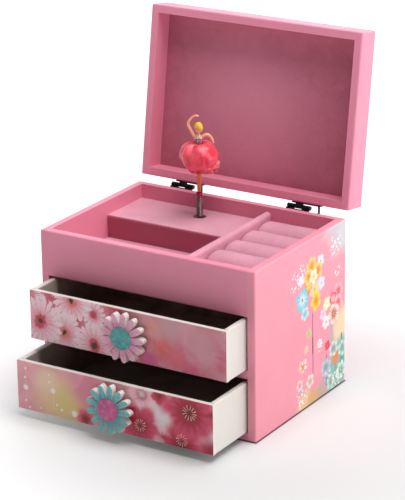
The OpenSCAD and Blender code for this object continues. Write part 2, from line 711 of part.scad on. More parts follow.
// The doll's legs, trunk, neck and head are turned; her arms are bent tubes
module dancer() color([0.93, 0.68, 0.52]) at_spindle() {
    foot = spring_top + slipper_length;
    rotate_extrude() polygon(concat(
        [[0, foot], [1.6, foot], [leg_radius, foot + 6], [leg_radius, waist + 3.4],
         [3.0, waist + 3.6], [2.9, waist + 5.2], [1.4, waist + 6.4], [1.3, waist + 8]],
        [for (a = [-60:15:90]) [3.8 * cos(a), head_centre + 4.8 * sin(a)]]));
    // One arm curves over the head; the other goes out from the shoulder and down to the skirt
    tube([[-2.8, 0, waist + 4.8], [-4.6, 0.1, waist + 8], [-6.6, 0.3, waist + 11.8], [-7.8, 0.3, waist + 15],
          [-7.3, 0.1, waist + 18], [-5.2, -0.2, waist + 20.9], [-2.2, -0.5, waist + 22.5],
          [0.6, -0.8, waist + 21.8]], [1.1, 1.25, 1.25, 1.2, 1.1, 1, 0.9, 0.6]);
    tube([[2.8, 0, waist + 4.8], [4.8, 0, waist + 6.6], [7.2, -0.2, waist + 7], [9.4, -0.6, waist + 5.2],
          [10.9, -1.4, waist + 2.8], [11.5, -2.6, waist + 0.5]], [1.1, 1.25, 1.3, 1.2, 1, 0.7]);
}

module bodice() color([0.70, 0.62, 0.68]) at_spindle() difference() {
    translate([0, 0, waist + 0.1]) cylinder(r1 = 3.2, r2 = 3.7, h = 3.2);
    translate([0, 0, waist - 1]) cylinder(r = leg_radius + 0.02, h = 8);
}

// Gathered skirt: it puffs up round the waist, is full below and tucks in at the hem
module skirt() color([0.95, 0.32, 0.33]) at_spindle()
    translate([0, 0, waist]) rotate_extrude() polygon(concat(
        [[leg_radius + 0.3, -0.6], [4, -0.6]],
        [for (a = [-75:15:90]) [5 + (skirt_radius - 5) * cos(a), -11 - 10.6 * sin(a)]],
        [[5, -20.4], [leg_radius + 2, -14], [leg_radius + 0.3, -6]]));

// ---- What is drawn ----

left_side();
right_side();
back_panel();
front_rail();
base_panel();
drawer_shelf();
tray_floor();
base_felt();
tray_lining();
platform_top();
platform_front_board();
divider();
ring_rolls();
hinge_case_leaves();
hinge_pins();
hinge_case_screws();
movement_plate();
spring_drum();
mainspring();
comb();
movement_brackets();
movement_screws();
lid_front();
lid_back();
lid_left();
lid_right();
lid_top();
lid_lining();
hinge_lid_leaves();
hinge_lid_screws();
upper_front();
upper_left();
upper_right();
upper_back();
upper_bottom();
upper_lining();
upper_flower();
upper_flower_centre();
upper_knob_screw();
lower_front();
lower_left();
lower_right();
lower_back();
lower_bottom();
lower_lining();
lower_flower();
lower_flower_centre();
lower_knob_screw();
crown_wheel();
winding_arbor();
winding_key();
dancer_shaft();
dancer_spring();
slipper();
dancer();
bodice();
skirt();
note_cylinder();
governor_wheel();
governor_fan();
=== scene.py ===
import bisect
import math
import random

import bmesh
import bpy
from mathutils import Matrix, Vector, noise


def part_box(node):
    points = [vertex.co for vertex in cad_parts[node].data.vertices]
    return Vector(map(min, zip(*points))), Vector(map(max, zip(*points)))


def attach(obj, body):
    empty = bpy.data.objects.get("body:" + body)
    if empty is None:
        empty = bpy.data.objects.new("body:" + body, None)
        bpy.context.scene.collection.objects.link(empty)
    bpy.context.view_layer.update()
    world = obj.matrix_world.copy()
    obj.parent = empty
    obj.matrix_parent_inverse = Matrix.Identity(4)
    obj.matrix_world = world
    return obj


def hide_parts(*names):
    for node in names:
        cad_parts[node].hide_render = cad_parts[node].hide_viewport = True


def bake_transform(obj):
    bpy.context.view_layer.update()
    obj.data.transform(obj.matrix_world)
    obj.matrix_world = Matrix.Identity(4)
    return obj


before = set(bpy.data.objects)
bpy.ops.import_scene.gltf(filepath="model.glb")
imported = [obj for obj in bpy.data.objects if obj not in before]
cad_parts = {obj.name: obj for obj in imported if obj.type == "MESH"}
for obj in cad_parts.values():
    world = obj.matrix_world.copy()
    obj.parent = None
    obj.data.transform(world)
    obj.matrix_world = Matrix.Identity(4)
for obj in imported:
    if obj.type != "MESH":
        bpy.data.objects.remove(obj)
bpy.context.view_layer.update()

MM = 0.001


def middle(node):
    """The middle of a CAD node's box."""
    low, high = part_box(node)
    return (low + high) / 2


# ---------------------------------------------------------------- shader building


def linear(red, green, blue):
    """A colour given as 0 to 255 on screen, as the shader's linear numbers."""
    def channel(value):
        value /= 255
        return value / 12.92 if value <= 0.04045 else ((value + 0.055) / 1.055) ** 2.4
    return channel(red), channel(green), channel(blue), 1.0


def shaded(colour, share):
    """A linear colour, with its light cut to a share."""
    return tuple(c * share for c in colour[:3]) + (1.0,)


# The Mix node repeats the names A, B and Result for each kind of data, so its colour sockets go by number
MIX_COLOURS = (6, 7)
MIX_RESULT = 2


class Shader:
    """A material with one Principled shader, and short names for the nodes that feed it."""

    def __init__(self, name, **constants):
        self.material = bpy.data.materials.new(name)
        self.material.use_nodes = True
        self.tree = self.material.node_tree
        self.surface = self.tree.nodes["Principled BSDF"]
        for socket, value in constants.items():
            self.surface.inputs[socket.replace("_", " ")].default_value = value
        self.place = self.node("TexCoord").outputs["Object"]

    def node(self, kind, values=(), **settings):
        """A node whose first sockets take values. A setting is one of its attributes or sockets."""
        made = self.tree.nodes.new("ShaderNode" + kind)
        for key, value in settings.items():
            if hasattr(made, key):
                setattr(made, key, value)
            else:
                self.feed(made.inputs[key], value)
        for index, value in enumerate(values):
            self.feed(made.inputs[index], value)
        return made

    def feed(self, socket, value):
        if isinstance(value, bpy.types.NodeSocket):
            self.tree.links.new(value, socket)
        elif value is not None:
            socket.default_value = value

    def set(self, **sockets):
        for name, value in sockets.items():
            self.feed(self.surface.inputs[name.replace("_", " ")], value)

    def math(self, operation, *values):
        return self.node("Math", values, operation=operation).outputs[0]

    def times(self, first, second):
        return self.math("MULTIPLY", first, second)

    def minus(self, first, second):
        return self.math("SUBTRACT", first, second)

    def times_plus(self, first, second, third):
        return self.math("MULTIPLY_ADD", first, second, third)

    def mix(self, amount, *colours):
        """Mixes two colours. A plain colour may be linear, or three numbers of 0 to 255 on screen."""
        made = self.node("Mix", (amount,), data_type="RGBA")
        for index, colour in zip(MIX_COLOURS, colours):
            on_screen = isinstance(colour, tuple) and len(colour) == 3
            self.feed(made.inputs[index], linear(*colour) if on_screen else colour)
        return made.outputs[MIX_RESULT]

    def noise(self, scale, detail=2.0, roughness=0.5, place=None, distortion=0.0):
        return self.node("TexNoise", (place or self.place,), Scale=scale, Detail=detail,
                         Roughness=roughness, Distortion=distortion).outputs["Fac"]

    def clouds(self, scale, detail, *span):
        """Noise with its middle tones spread over 0 to 1, or over the span given."""
        return self.remap(self.noise(scale, detail), 0.3, 0.7, *span)

    def stretched(self, *scales):
        """The place, scaled along each axis, for grain and streaks."""
        return self.node("VectorMath", (self.place, scales), operation="MULTIPLY").outputs[0]

    def remap(self, value, low, high, out_low=0.0, out_high=1.0, smooth=True):
        return self.node("MapRange", (value, low, high, out_low, out_high),
                         interpolation_type="SMOOTHSTEP" if smooth else "LINEAR").outputs[0]

    def bump(self, height, distance, strength):
        bumped = self.node("Bump", Height=height, Distance=distance, Strength=strength)
        self.set(Normal=bumped.outputs[0])

    def axes(self):
        return self.node("SeparateXYZ", (self.place,)).outputs

    def cells(self, scale):
        return self.node("TexVoronoi", (self.place,), Scale=scale).outputs

    def spot(self, u, v, centre, radius):
        """The distance of the place from centre, as a share of radius, and the angle about centre in
        radians. u and v are two of the axes, and centre and radius are in millimetres."""
        du, dv = (self.minus(axis, at * MM) for axis, at in zip((u, v), centre))
        squares = self.math("ADD", self.times(du, du), self.times(dv, dv))
        distance = self.math("DIVIDE", self.math("SQRT", squares), radius * MM)
        return distance, self.math("ARCTAN2", dv, du)


# ---------------------------------------------------------------- materials

PINK = linear(236, 147, 172)
WHITE = linear(223, 220, 214)


def paint(name, colour, roughness=0.42):
    """Sprayed satin paint on fibreboard: faint cloudiness and orange peel."""
    shader = Shader(name, IOR=1.46, Specular_IOR_Level=0.28)
    shader.set(Base_Color=shader.mix(shader.clouds(22, 3), shaded(colour, 0.965), colour),
               Roughness=shader.clouds(60, 2, roughness - 0.05, roughness + 0.06))
    shader.bump(shader.noise(700, 2), 0.00012, 0.35)
    return shader


def velvet(name, colour, patch=30.0, shade=0.8, sheen=0.5, painted_light_and_shade=None):
    """Short-pile velvet: patches where the nap lies another way, over a fine pile. The last argument
    takes the shader and its ground colour, and returns it with painted light and shade laid on it."""
    shader = Shader(name, Roughness=0.92, Sheen_Weight=sheen, Sheen_Roughness=0.35,
                    Sheen_Tint=(1.0, 0.80, 0.85, 1.0), Specular_IOR_Level=0.15)
    nap = shader.remap(shader.noise(patch, 4, 0.6, distortion=0.6), 0.35, 0.66)
    pile = shader.noise(2600, 3, 0.7)
    ground = shader.mix(nap, shaded(colour, shade), colour)
    if painted_light_and_shade:
        ground = painted_light_and_shade(shader, ground)
    darker = shader.mix(0.22, ground, (0, 0, 0))
    shader.set(Base_Color=shader.mix(shader.remap(pile, 0.3, 0.7), darker, ground))
    shader.bump(pile, 0.0003, 0.6)
    return shader


def platform_front_shade(shader, ground):
    """Painted shade: the velvet on the platform's front is darker than on its top."""
    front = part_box("platform_top")[0].y
    painted_light_and_shade = shader.remap(shader.axes()[1], front + 1.4 * MM, front + 0.2 * MM)
    return shader.mix(painted_light_and_shade, ground, (184, 100, 120))


def lid_painted_highlight(shader, ground):
    """Painted highlight: the velvet in the middle of the lid is paler, fading out towards its edges."""
    centre = middle("lid_lining") / MM
    x, _, z = shader.axes()
    distance, _ = shader.spot(x, z, (centre.x - 10, centre.z - 8), 85)
    return shader.mix(shader.remap(distance, 1.0, 0.1, 0.0, 0.85), ground, (238, 156, 178))


def felt(name):
    """Flocked black felt with pale lint."""
    shader = Shader(name, Roughness=0.9, Sheen_Weight=0.8, Sheen_Roughness=0.5,
                    Sheen_Tint=(0.9, 0.85, 0.8, 1.0), Specular_IOR_Level=0.1)
    fibres = shader.noise(1800, 4, 0.75)
    ground = shader.mix(shader.clouds(35, 3), (132, 117, 107), (176, 162, 152))
    shader.set(Base_Color=shader.mix(shader.remap(fibres, 0.62, 0.8), ground, (180, 167, 156)))
    shader.bump(fibres, 0.0004, 0.7)
    return shader


def metal(name, colour, roughness=0.28, grain=(40, 40, 900)):
    """Drawn or rolled metal with fine lines."""
    shader = Shader(name, Metallic=1.0)
    lines = shader.noise(1.0, 3, 0.6, place=shader.stretched(*grain))
    shader.set(Base_Color=shader.mix(lines, shaded(colour, 0.8), colour),
               Roughness=shader.remap(lines, 0.2, 0.8, roughness - 0.08, roughness + 0.1))
    shader.bump(lines, 0.00005, 0.4)
    return shader


def lacquer(name):
    """Black lacquered steel, worn a little along its length."""
    shader = Shader(name, Specular_IOR_Level=0.35)
    wear = shader.remap(shader.noise(500, 4, 0.7), 0.62, 0.75)
    shader.set(Base_Color=shader.mix(wear, (8, 8, 9), (30, 28, 27)),
               Roughness=shader.clouds(220, 2, 0.3, 0.5))
    shader.bump(shader.noise(1400, 2), 0.00005, 0.4)
    return shader


class Print:
    """A print on a flat face: its shader, the face's two directions, and the colour laid so far.
    Places and sizes are in millimetres on the face, and colours are 0 to 255."""

    def __init__(self, shader, u, v, colour):
        self.shader, self.u, self.v, self.colour = shader, u, v, colour

    def spot(self, centre, radius):
        return self.shader.spot(self.u, self.v, centre, radius)

    def lay(self, amount, tint):
        """Lays a colour over the print."""
        self.colour = self.shader.mix(amount, self.colour, tint)

    def flower(self, centre, radius, count, tip, base, turn, notch, eye, eye_size, ring, wobble, soft,
               lines, streaks=0.18):
        """A flower of count petals. tip and base are a petal's colours, turn its twist and notch how deep
        the gaps between petals are. eye and ring are the colours in the middle and just outside it. The
        outline follows the noise given as wobble and is blurred by soft. lines and streaks are how plain
        the dark lines between petals and the streaks along them are."""
        shader = self.shader
        distance, angle = self.spot(centre, radius)
        distance = shader.times_plus(wobble, 0.4, shader.minus(distance, 0.2))
        angle = shader.times_plus(wobble, 0.5, angle)
        wave = shader.math("COSINE", shader.times_plus(angle, count / 2, turn))
        wave = shader.math("ABSOLUTE", wave)
        edge = shader.times_plus(shader.math("POWER", wave, 0.55), notch, 1.0 - notch)
        inside = shader.remap(shader.minus(edge, distance), -0.3 * soft, 0.7 * soft)
        # Streaks run along the petals, and a darker line parts them
        streak = shader.math("SINE", shader.times(angle, count * 3.0))
        fade = shader.times_plus(streak, streaks, distance)
        petals = shader.mix(shader.remap(fade, 0.15, 0.8), base, tip)
        parting = shader.times(shader.remap(wave, 0.4, 0.0), lines)
        petals = shader.mix(parting, petals, base)
        for tint, outer, inner in ((ring, 2.6, 1.4), (eye, 1.25, 0.8)):
            if tint:
                near = shader.remap(distance, eye_size * outer, eye_size * inner)
                petals = shader.mix(near, petals, tint)
        self.lay(inside, petals)

    def blob(self, centre, radius, tint, soft, strength, wobble=None):
        """A soft round patch of colour."""
        shader = self.shader
        distance, _ = self.spot(centre, radius)
        if wobble:
            distance = shader.times_plus(wobble, 1.1, shader.minus(distance, 0.55))
        self.lay(shader.remap(distance, 1.0, 1.0 - soft, 0.0, strength), tint)

    def stem(self, at, low, high, half_width, tint, sway, strength=1.0):
        """An upright line from low to high."""
        shader, v = self.shader, self.v
        bend = shader.times(shader.math("SINE", shader.times(v, 60.0)), sway * MM)
        off = shader.minus(shader.minus(self.u, at * MM), bend)
        line = shader.remap(shader.math("ABSOLUTE", off), half_width * MM * 1.4, half_width * MM * 0.5)
        above = shader.remap(v, low * MM, (low + 2) * MM)
        below = shader.remap(v, high * MM, (high - 2) * MM)
        amount = shader.times(shader.times(line, above), below)
        self.lay(shader.times(amount, strength), tint)


def printed_front(shader, colour, front_y):
    """A satin face with the print on its front, at front_y, and white paint behind it."""
    front = shader.remap(shader.axes()[1], front_y + 0.35 * MM, front_y + 0.15 * MM)
    shader.set(Base_Color=shader.mix(front, WHITE, colour),
               Roughness=shader.clouds(90, 2, 0.32, 0.42))
    shader.bump(shader.noise(900, 2), 0.00006, 0.3)
    return shader


def upper_print(front_y):
    """Gerberas on the left of the upper drawer, and a pink wash on its right."""
    shader = Shader("upper_print")
    u, _, v = shader.axes()
    cloud = shader.noise(38, 4, 0.6, distortion=0.8)
    fine = shader.noise(150, 3, 0.6)
    left = shader.mix(shader.remap(cloud, 0.3, 0.7), (206, 140, 154), (232, 188, 198))
    right = shader.mix(shader.remap(cloud, 0.38, 0.64), (208, 108, 128), (216, 146, 156))
    art = Print(shader, u, v, shader.mix(shader.remap(u, -25 * MM, 5 * MM), left, right))
    for centre, radius, tint in (
        ((31, 74), 13, (222, 84, 84)), ((45, 66), 12, (224, 96, 110)), ((20, 60), 12, (206, 72, 132)),
        ((60, 60), 15, (216, 78, 122)), ((24, 88), 13, (226, 146, 136)), ((66, 84), 20, (206, 146, 156)),
        ((82, 68), 12, (206, 84, 110)), ((5, 84), 16, (206, 158, 160)), ((40, 92), 18, (204, 156, 164)),
    ):
        art.blob(centre, radius, tint, 0.9, 0.8, cloud)
    ring, rose = (200, 44, 70), (206, 74, 100)
    white, blush, peach = (242, 210, 218), (226, 134, 154), (226, 108, 98)
    for centre, radius, count, turn, tip in (
        ((-66, 94), 16, 15, 0.4, blush), ((-90, 92), 18, 16, 0.9, white), ((-66, 56), 16, 15, 0.1, white),
        ((-42, 78), 19, 15, 0.7, white), ((-14, 80), 18, 14, 0.2, white), ((-43, 56), 15, 14, 0.5, blush),
        ((-10, 96), 14, 14, 0.2, blush), ((-90, 56), 15, 14, 0.2, blush),
    ):
        art.flower(centre, radius, count, tip, rose, turn, 0.35, None, 0.1, None, fine, 0.12, 0.6)
    for centre, radius, count, turn, middle_tint in (
        ((-28.7, 87.3), 11, 14, 0.3, rose), ((-48.8, 94.6), 18, 17, 0.2, peach),
        ((-55.8, 67.4), 18, 17, 0.8, peach), ((-77.8, 72.8), 21, 19, 0.5, ring),
        ((-28.7, 62.4), 19, 17, 0.1, ring),
    ):
        eye = (40, 4, 12) if radius > 12 else ring
        art.flower(centre, radius, count, white, blush, turn, 0.4, eye, 0.13, middle_tint, fine, 0.1, 0.95)
    return printed_front(shader, art.colour, front_y)


def lower_print(front_y):
    """Points of light on the left of the lower drawer, and crimson blossoms on its right."""
    shader = Shader("lower_print")
    u, _, v = shader.axes()
    cloud = shader.noise(30, 4, 0.6, distortion=0.8)
    fine = shader.noise(140, 3, 0.6)
    ground = shader.mix(shader.remap(cloud, 0.32, 0.68), (226, 138, 160), (240, 174, 180))
    art = Print(shader, u, v, ground)
    for centre, radius, tint in (
        ((-52, 22), 30, (230, 198, 146)), ((-42, 18), 20, (222, 198, 124)), ((-62, 34), 16, (236, 206, 178)),
        ((-84, 30), 16, (224, 158, 166)), ((-20, 36), 24, (222, 128, 150)), ((-14, 20), 16, (220, 140, 150)),
        ((48, 26), 20, (226, 208, 208)), ((26, 40), 15, (240, 216, 218)), ((40, 34), 12, (236, 214, 216)),
        ((80, 40), 16, (226, 120, 140)),
    ):
        art.blob(centre, radius, tint, 0.85, 0.85, cloud)
    crimson, rose, pale, raspberry = (172, 8, 46), (214, 50, 92), (246, 206, 214), (222, 70, 108)
    for centre, radius, tip, base, turn, soft in (
        ((44, 8), 16, pale, rose, 1.1, 0.8), ((26, 42), 13, pale, (232, 120, 150), 0.6, 0.6),
        ((41, 44), 8, rose, crimson, 0.2, 0.4), ((92, 10), 20, rose, crimson, 0.9, 0.6),
        ((84, 34), 20, pale, rose, 0.2, 0.7), ((60, 10), 20, rose, crimson, 0.3, 0.6),
        ((66, 36), 25, raspberry, crimson, 0.7, 0.35), ((23.8, 17), 19, raspberry, crimson, 0.1, 0.35),
        ((-25, 11), 9, (222, 110, 120), crimson, 0.5, 0.4),
    ):
        art.flower(centre, radius, 5, tip, base, turn, 0.3, (130, 2, 30), 0.18, crimson, cloud, soft,
                   0.5, 0.06)
    for centre, radius, strength in (((45, 27), 10, 0.9), ((26, 42), 7, 0.7), ((88, 24), 7, 0.3),
                                     ((40, 7), 7, 0.6)):
        art.blob(centre, radius, (240, 226, 226), 0.9, strength, fine)
    art.blob((89, 6), 16, crimson, 0.9, 0.9, cloud)
    # Pale stamens stand in a ring about the middle of each large blossom
    for centre, size in (((23.8, 17), 5.5), ((67, 36), 6.5), ((60, 13), 5.5)):
        distance, angle = art.spot(centre, size)
        spokes = shader.times_plus(fine, 14.0, shader.times(angle, 13.0))
        spokes = shader.remap(shader.math("SINE", spokes), 0.5, 0.95)
        ring = shader.times(shader.remap(distance, 0.25, 0.5), shader.remap(distance, 1.0, 0.85))
        art.lay(shader.times(spokes, ring), (246, 196, 188))
    glow = (250, 244, 240)
    for at, low in ((-79.5, 8), (-54.6, 10)):
        art.stem(at, low, 44, 0.3, glow, 0.6, 0.22)
    for centre, size in (
        ((-79.4, 25.4), 2.8), ((-54.3, 27.6), 2.6), ((-35.1, 12.9), 3.2), ((-79.9, 33.5), 1.3),
        ((-51, 16.8), 1.3), ((-46.6, 13.7), 1.4), ((-79.9, 14.6), 1.1), ((-76.4, 9.6), 1.4),
        ((-57.5, 34), 1.1), ((-57.6, 40), 0.9), ((-79.2, 41), 1.2), ((-66, 11), 1.0),
    ):
        art.blob(centre, size, glow, 0.45, 0.85)
    return printed_front(shader, art.colour, front_y)


def side_art():
    """Painted flowers towards the back of the right side, on the case's pink."""
    shader = paint("side_art", linear(239, 153, 171))
    ground = shader.surface.inputs["Base Color"].links[0].from_socket
    x, u, v = shader.axes()
    cloud = shader.noise(34, 4, 0.65, distortion=1.0)
    fine = shader.noise(170, 3, 0.7)
    art = Print(shader, u, v, ground)
    # Washes of the far corner, the cream strip and the leaves at the foot
    for centre, radius, tint, strength in (
        ((66, 142), 44, (202, 196, 206), 0.95), ((70, 128), 22, (206, 206, 212), 0.8),
        ((66, 46), 22, (240, 216, 176), 0.9), ((60, 26), 17, (124, 178, 174), 0.85),
        ((42, 18), 15, (150, 172, 184), 0.85), ((56, 6), 20, (134, 188, 176), 0.85),
        ((30, 6), 11, (176, 176, 156), 0.7), ((66, 14), 12, (104, 168, 156), 0.8),
        ((4, 6), 14, (232, 200, 150), 0.85), ((18, 4), 12, (214, 176, 112), 0.8),
        ((0, 16), 8, (190, 180, 190), 0.7),
    ):
        art.blob(centre, radius, tint, 0.55, strength, cloud)
    for at, low, high, half, tint, sway in (
        (17, 24, 76, 0.7, (150, 100, 160), 0.5), (17, 40, 56, 0.8, (70, 40, 90), 0.5),
        (47, 4, 60, 1.2, (120, 190, 186), 1.0), (52, 6, 40, 1.0, (90, 170, 160), 1.4),
        (62, 4, 44, 1.0, (60, 150, 130), 1.2), (38, 6, 34, 0.8, (100, 130, 160), 1.2),
    ):
        art.stem(at, low, high, half, tint, sway)
    yellow, amber, white = (248, 212, 120), (222, 142, 54), (250, 240, 236)
    sky, aqua, lilac = (206, 226, 240), (112, 200, 214), (232, 214, 236)
    red, blush, brown = (222, 70, 96), (248, 190, 196), (176, 92, 60)
    for centre, radius, count, tip, base, turn in (
        ((29, 113), 6, 5, sky, lilac, 0.2), ((30, 95), 6, 5, lilac, sky, 0.9),
        ((-1, 106), 5, 5, lilac, white, 0.3), ((11, 99), 7, 5, amber, yellow, 0.7),
        ((25, 107), 7, 5, yellow, amber, 1.2), ((15, 113), 8, 6, yellow, amber, 0.1),
        ((20, 93), 8, 5, (250, 200, 180), yellow, 0.4), ((10, 106), 7, 5, yellow, amber, 0.8),
        ((18, 104), 6, 5, white, yellow, 0.2), ((5, 78), 6, 5, sky, aqua, 0.2),
        ((1, 90), 10, 4, aqua, sky, 0.5), ((22, 83), 8, 5, (236, 214, 60), amber, 1.0),
        ((33, 68), 5, 5, lilac, blush, 0.2), ((39, 75), 6, 5, (248, 224, 160), white, 0.5),
        ((38, 60), 6, 5, white, lilac, 0.8), ((57, 80), 7, 5, blush, red, 0.3),
        ((49, 76), 6, 5, red, blush, 0.7), ((57, 70), 7, 5, blush, red, 0.1),
        ((50, 63), 9, 5, (252, 224, 214), brown, 0.9), ((40, 40), 4.5, 4, red, red, 0.4),
        ((53, 25), 6, 4, (240, 130, 80), amber, 1.0), ((1, 36), 6, 5, blush, amber, 0.2),
        ((7, 48), 4, 5, (250, 190, 140), blush, 0.6), ((28, 46), 4, 6, white, blush, 0.1),
        ((11, 60), 4, 4, (200, 206, 130), (180, 190, 110), 0.1),
        ((50, 34), 7, 6, (214, 228, 222), (116, 148, 158), 0.3),
        ((38, 22), 8, 7, (190, 206, 214), (128, 150, 170), 0.8),
        ((64, 30), 7, 6, (206, 228, 214), (104, 160, 150), 0.5),
        ((62, 12), 8, 7, (214, 236, 222), (96, 160, 146), 1.1),
        ((46, 8), 7, 6, (196, 224, 214), (120, 160, 160), 0.2),
        ((13, 20), 6, 5, (240, 224, 220), (196, 170, 160), 0.6),
        ((-3, 22), 5, 5, (246, 214, 220), (214, 150, 160), 0.9),
    ):
        art.flower(centre, radius, count, tip, base, turn, 0.38, amber, 0.12, None, fine, 0.16, 0.5)
    # Sprays of white dots
    dots = shader.remap(shader.cells(330)["Distance"], 0.42, 0.28)
    near = 0.0
    for centre, radius in (((52, 119), 12), ((56, 96), 7), ((-9, 108), 11), ((0, 114), 7), ((28, 44), 7),
                           ((0, 10), 11), ((56, 8), 11), ((3, 36), 8), ((40, 16), 7)):
        spot = shader.remap(art.spot(centre, radius)[0], 1.0, 0.5)
        near = shader.math("MAXIMUM", near, spot)
    art.lay(shader.times(dots, near), white)
    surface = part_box("right_side")[1].x
    outside = shader.remap(x, surface - 0.4 * MM, surface - 0.1 * MM)
    shader.set(Base_Color=shader.mix(outside, ground, art.colour))
    return shader


def petal_print(name, centre, front_y, tip, base):
    """A flower knob: its printed front has fine streaks, and its cut edges are white."""
    shader = Shader(name)
    u, _, v = shader.axes()
    distance, angle = shader.spot(u, v, (centre.x / MM, centre.z / MM), PETAL_REACH)
    streak = shader.math("SINE", shader.times(angle, PETALS * 5.0))
    across = shader.math("COSINE", shader.times(angle, PETALS * 1.0))
    shade = shader.times_plus(streak, 0.12, shader.remap(distance, 0.45, 1.0, 0.15, 0.85))
    colour = shader.mix(shade, base, tip)
    colour = shader.mix(shader.remap(across, 0.9, 1.0, 0.0, 0.35), colour, base)
    colour = shader.mix(shader.remap(shader.noise(400, 3), 0.4, 0.75, 0.0, 0.25), colour, WHITE)
    return printed_front(shader, colour, front_y)


def hatch_print(name, light, dark):
    """The knob's centre: a fine slanting lattice, printed and faintly raised."""
    shader = Shader(name)
    u, _, v = shader.axes()
    def lines(sign):
        along = shader.times_plus(v, sign, u)
        wave = shader.math("SINE", shader.times(along, 2 * math.pi / (2.6 * MM)))
        return shader.remap(shader.math("ABSOLUTE", wave), 0.0, 0.45)
    lattice = shader.times(lines(0.9), lines(-1.1))
    cloud = shader.remap(shader.noise(300, 3), 0.35, 0.7)
    ground = shader.mix(cloud, dark, light)
    shader.set(Base_Color=shader.mix(lattice, tuple(c * 0.86 for c in dark), ground), Roughness=0.42)
    shader.bump(lattice, 0.00025, 0.5)
    return shader


def moulded(name, colour, roughness=0.34):
    """Moulded, sprayed plastic of a small doll."""
    shader = Shader(name, Subsurface_Weight=0.08, Subsurface_Scale=0.002)
    shader.set(Base_Color=shader.mix(shader.clouds(260, 3), shaded(colour, 0.9), colour),
               Roughness=shader.clouds(500, 2, roughness - 0.06, roughness + 0.08))
    shader.bump(shader.noise(1500, 2), 0.00003, 0.4)
    return shader


def glitter(name):
    """Glitter paint: small flakes that each catch the light their own way."""
    shader = Shader(name, Roughness=0.22)
    flake = shader.node("SeparateColor", (shader.cells(1700)["Color"],)).outputs[0]
    tone = shader.remap(flake, 0.2, 0.9, smooth=False)
    shader.set(Base_Color=shader.mix(tone, (120, 92, 116), (238, 222, 232)),
               Metallic=shader.remap(flake, 0.4, 0.7, 0.1, 0.9))
    shader.bump(flake, 0.0002, 0.9)
    return shader


def satin(name):
    """Soft coral satin: painted highlight and painted shade in broad noise patches, glossier where paler."""
    shader = Shader(name, Sheen_Weight=0.35, Sheen_Roughness=0.3, Sheen_Tint=(1.0, 0.7, 0.75, 1.0),
                    Subsurface_Weight=0.15, Subsurface_Scale=0.002, Specular_IOR_Level=0.6)
    broad = shader.noise(1.0, 2, 0.5, place=shader.stretched(160, 160, 90))
    # Paler patches are painted highlight and deeper red ones painted shade; the paler ones are also glossier
    shader.set(Base_Color=shader.mix(shader.remap(broad, 0.36, 0.64), (226, 44, 70), (250, 96, 116)),
               Roughness=shader.remap(broad, 0.3, 0.7, 0.46, 0.3))
    shader.bump(shader.noise(3200, 2, 0.6), 0.0001, 0.4)
    return shader


def net(name):
    """Coral net for the flounces, paler where its threads show, streaked with painted highlight and shade."""
    shader = Shader(name, Sheen_Weight=0.5, Sheen_Roughness=0.3, Sheen_Tint=(1.0, 0.75, 0.78, 1.0),
                    Subsurface_Weight=0.25, Subsurface_Scale=0.003)
    net_painted_light_and_gloss = shader.noise(1.0, 3, 0.6, place=shader.stretched(300, 300, 120))
    mesh = shader.noise(2600, 2, 0.6)
    # Upright streaks of painted highlight and painted shade, glossier where paler
    colour = shader.mix(shader.remap(net_painted_light_and_gloss, 0.35, 0.68), (232, 66, 84), (255, 128, 138))
    shader.set(Base_Color=shader.mix(shader.remap(mesh, 0.5, 0.75, 0.0, 0.5), colour, (255, 190, 190)),
               Roughness=shader.remap(net_painted_light_and_gloss, 0.3, 0.7, 0.55, 0.4))
    shader.bump(mesh, 0.00025, 0.5)
    return shader


# ---------------------------------------------------------------- mesh building


def clean(mesh, weld=False):
    """Turns a mesh's faces outwards, after joining points that lie on each other if asked to."""
    editing = bmesh.new()
    editing.from_mesh(mesh)
    if weld:
        bmesh.ops.remove_doubles(editing, verts=editing.verts, dist=1e-6)
    bmesh.ops.recalc_face_normals(editing, faces=editing.faces)
    editing.to_mesh(mesh)
    editing.free()


def in_scene(name, data):
    """A new object in the scene's collection."""
    made = bpy.data.objects.new(name, data)
    bpy.context.scene.collection.objects.link(made)
    return made


def piece(name, verts, faces, shader, body, slot, replaces=(), smooth=True):
    """A mesh piece in place, riding on its body if one is given."""
    mesh = bpy.data.meshes.new(name)
    mesh.from_pydata([tuple(v) for v in verts], [], faces)
    made = in_scene(name, mesh)
    clean(mesh)
    mesh.materials.append(shader.material)
    for face in mesh.polygons:
        face.use_smooth = smooth
    if body:
        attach(made, body)
    if replaces:
        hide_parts(*replaces)
    return made


def modify(made, kind, **settings):
    modifier = made.modifiers.new(kind.title(), kind)
    for key, value in settings.items():
        setattr(modifier, key, value)
    return modifier


def ring_faces(rings, steps):
    """Faces that join each ring of points to the next."""
    return [(a + k, a + (k + 1) % steps, a + steps + (k + 1) % steps, a + steps + k)
            for a in range(0, (rings - 1) * steps, steps) for k in range(steps)]


def end_faces(rings, steps):
    """Faces that close the first ring and the last one."""
    return [tuple(range(steps - 1, -1, -1)), tuple(range((rings - 1) * steps, rings * steps))]


def lathe(profile, steps, place, shape=lambda angle: 1.0):
    """Turns (radius, height) points about an upright axis, and puts each point where place says."""
    verts = []
    for radius, height in profile:
        for k in range(steps):
            angle = 2 * math.pi * k / steps
            reach = radius * shape(angle)
            verts.append(place(reach * math.cos(angle), reach * math.sin(angle), height))
    return verts, ring_faces(len(profile), steps) + end_faces(len(profile), steps)


def tube(path, radii, sides=12):
    """A closed tube along a path."""
    verts = []
    ahead = Vector((0, 1, 0))
    for i, point in enumerate(path):
        along = (path[min(i + 1, len(path) - 1)] - path[max(i - 1, 0)]).normalized()
        ahead = (ahead - ahead.dot(along) * along).normalized()
        third = along.cross(ahead)
        for k in range(sides):
            angle = 2 * math.pi * k / sides
            verts.append(point + radii[i] * (math.cos(angle) * ahead + math.sin(angle) * third))
    return verts, ring_faces(len(path), sides) + end_faces(len(path), sides)


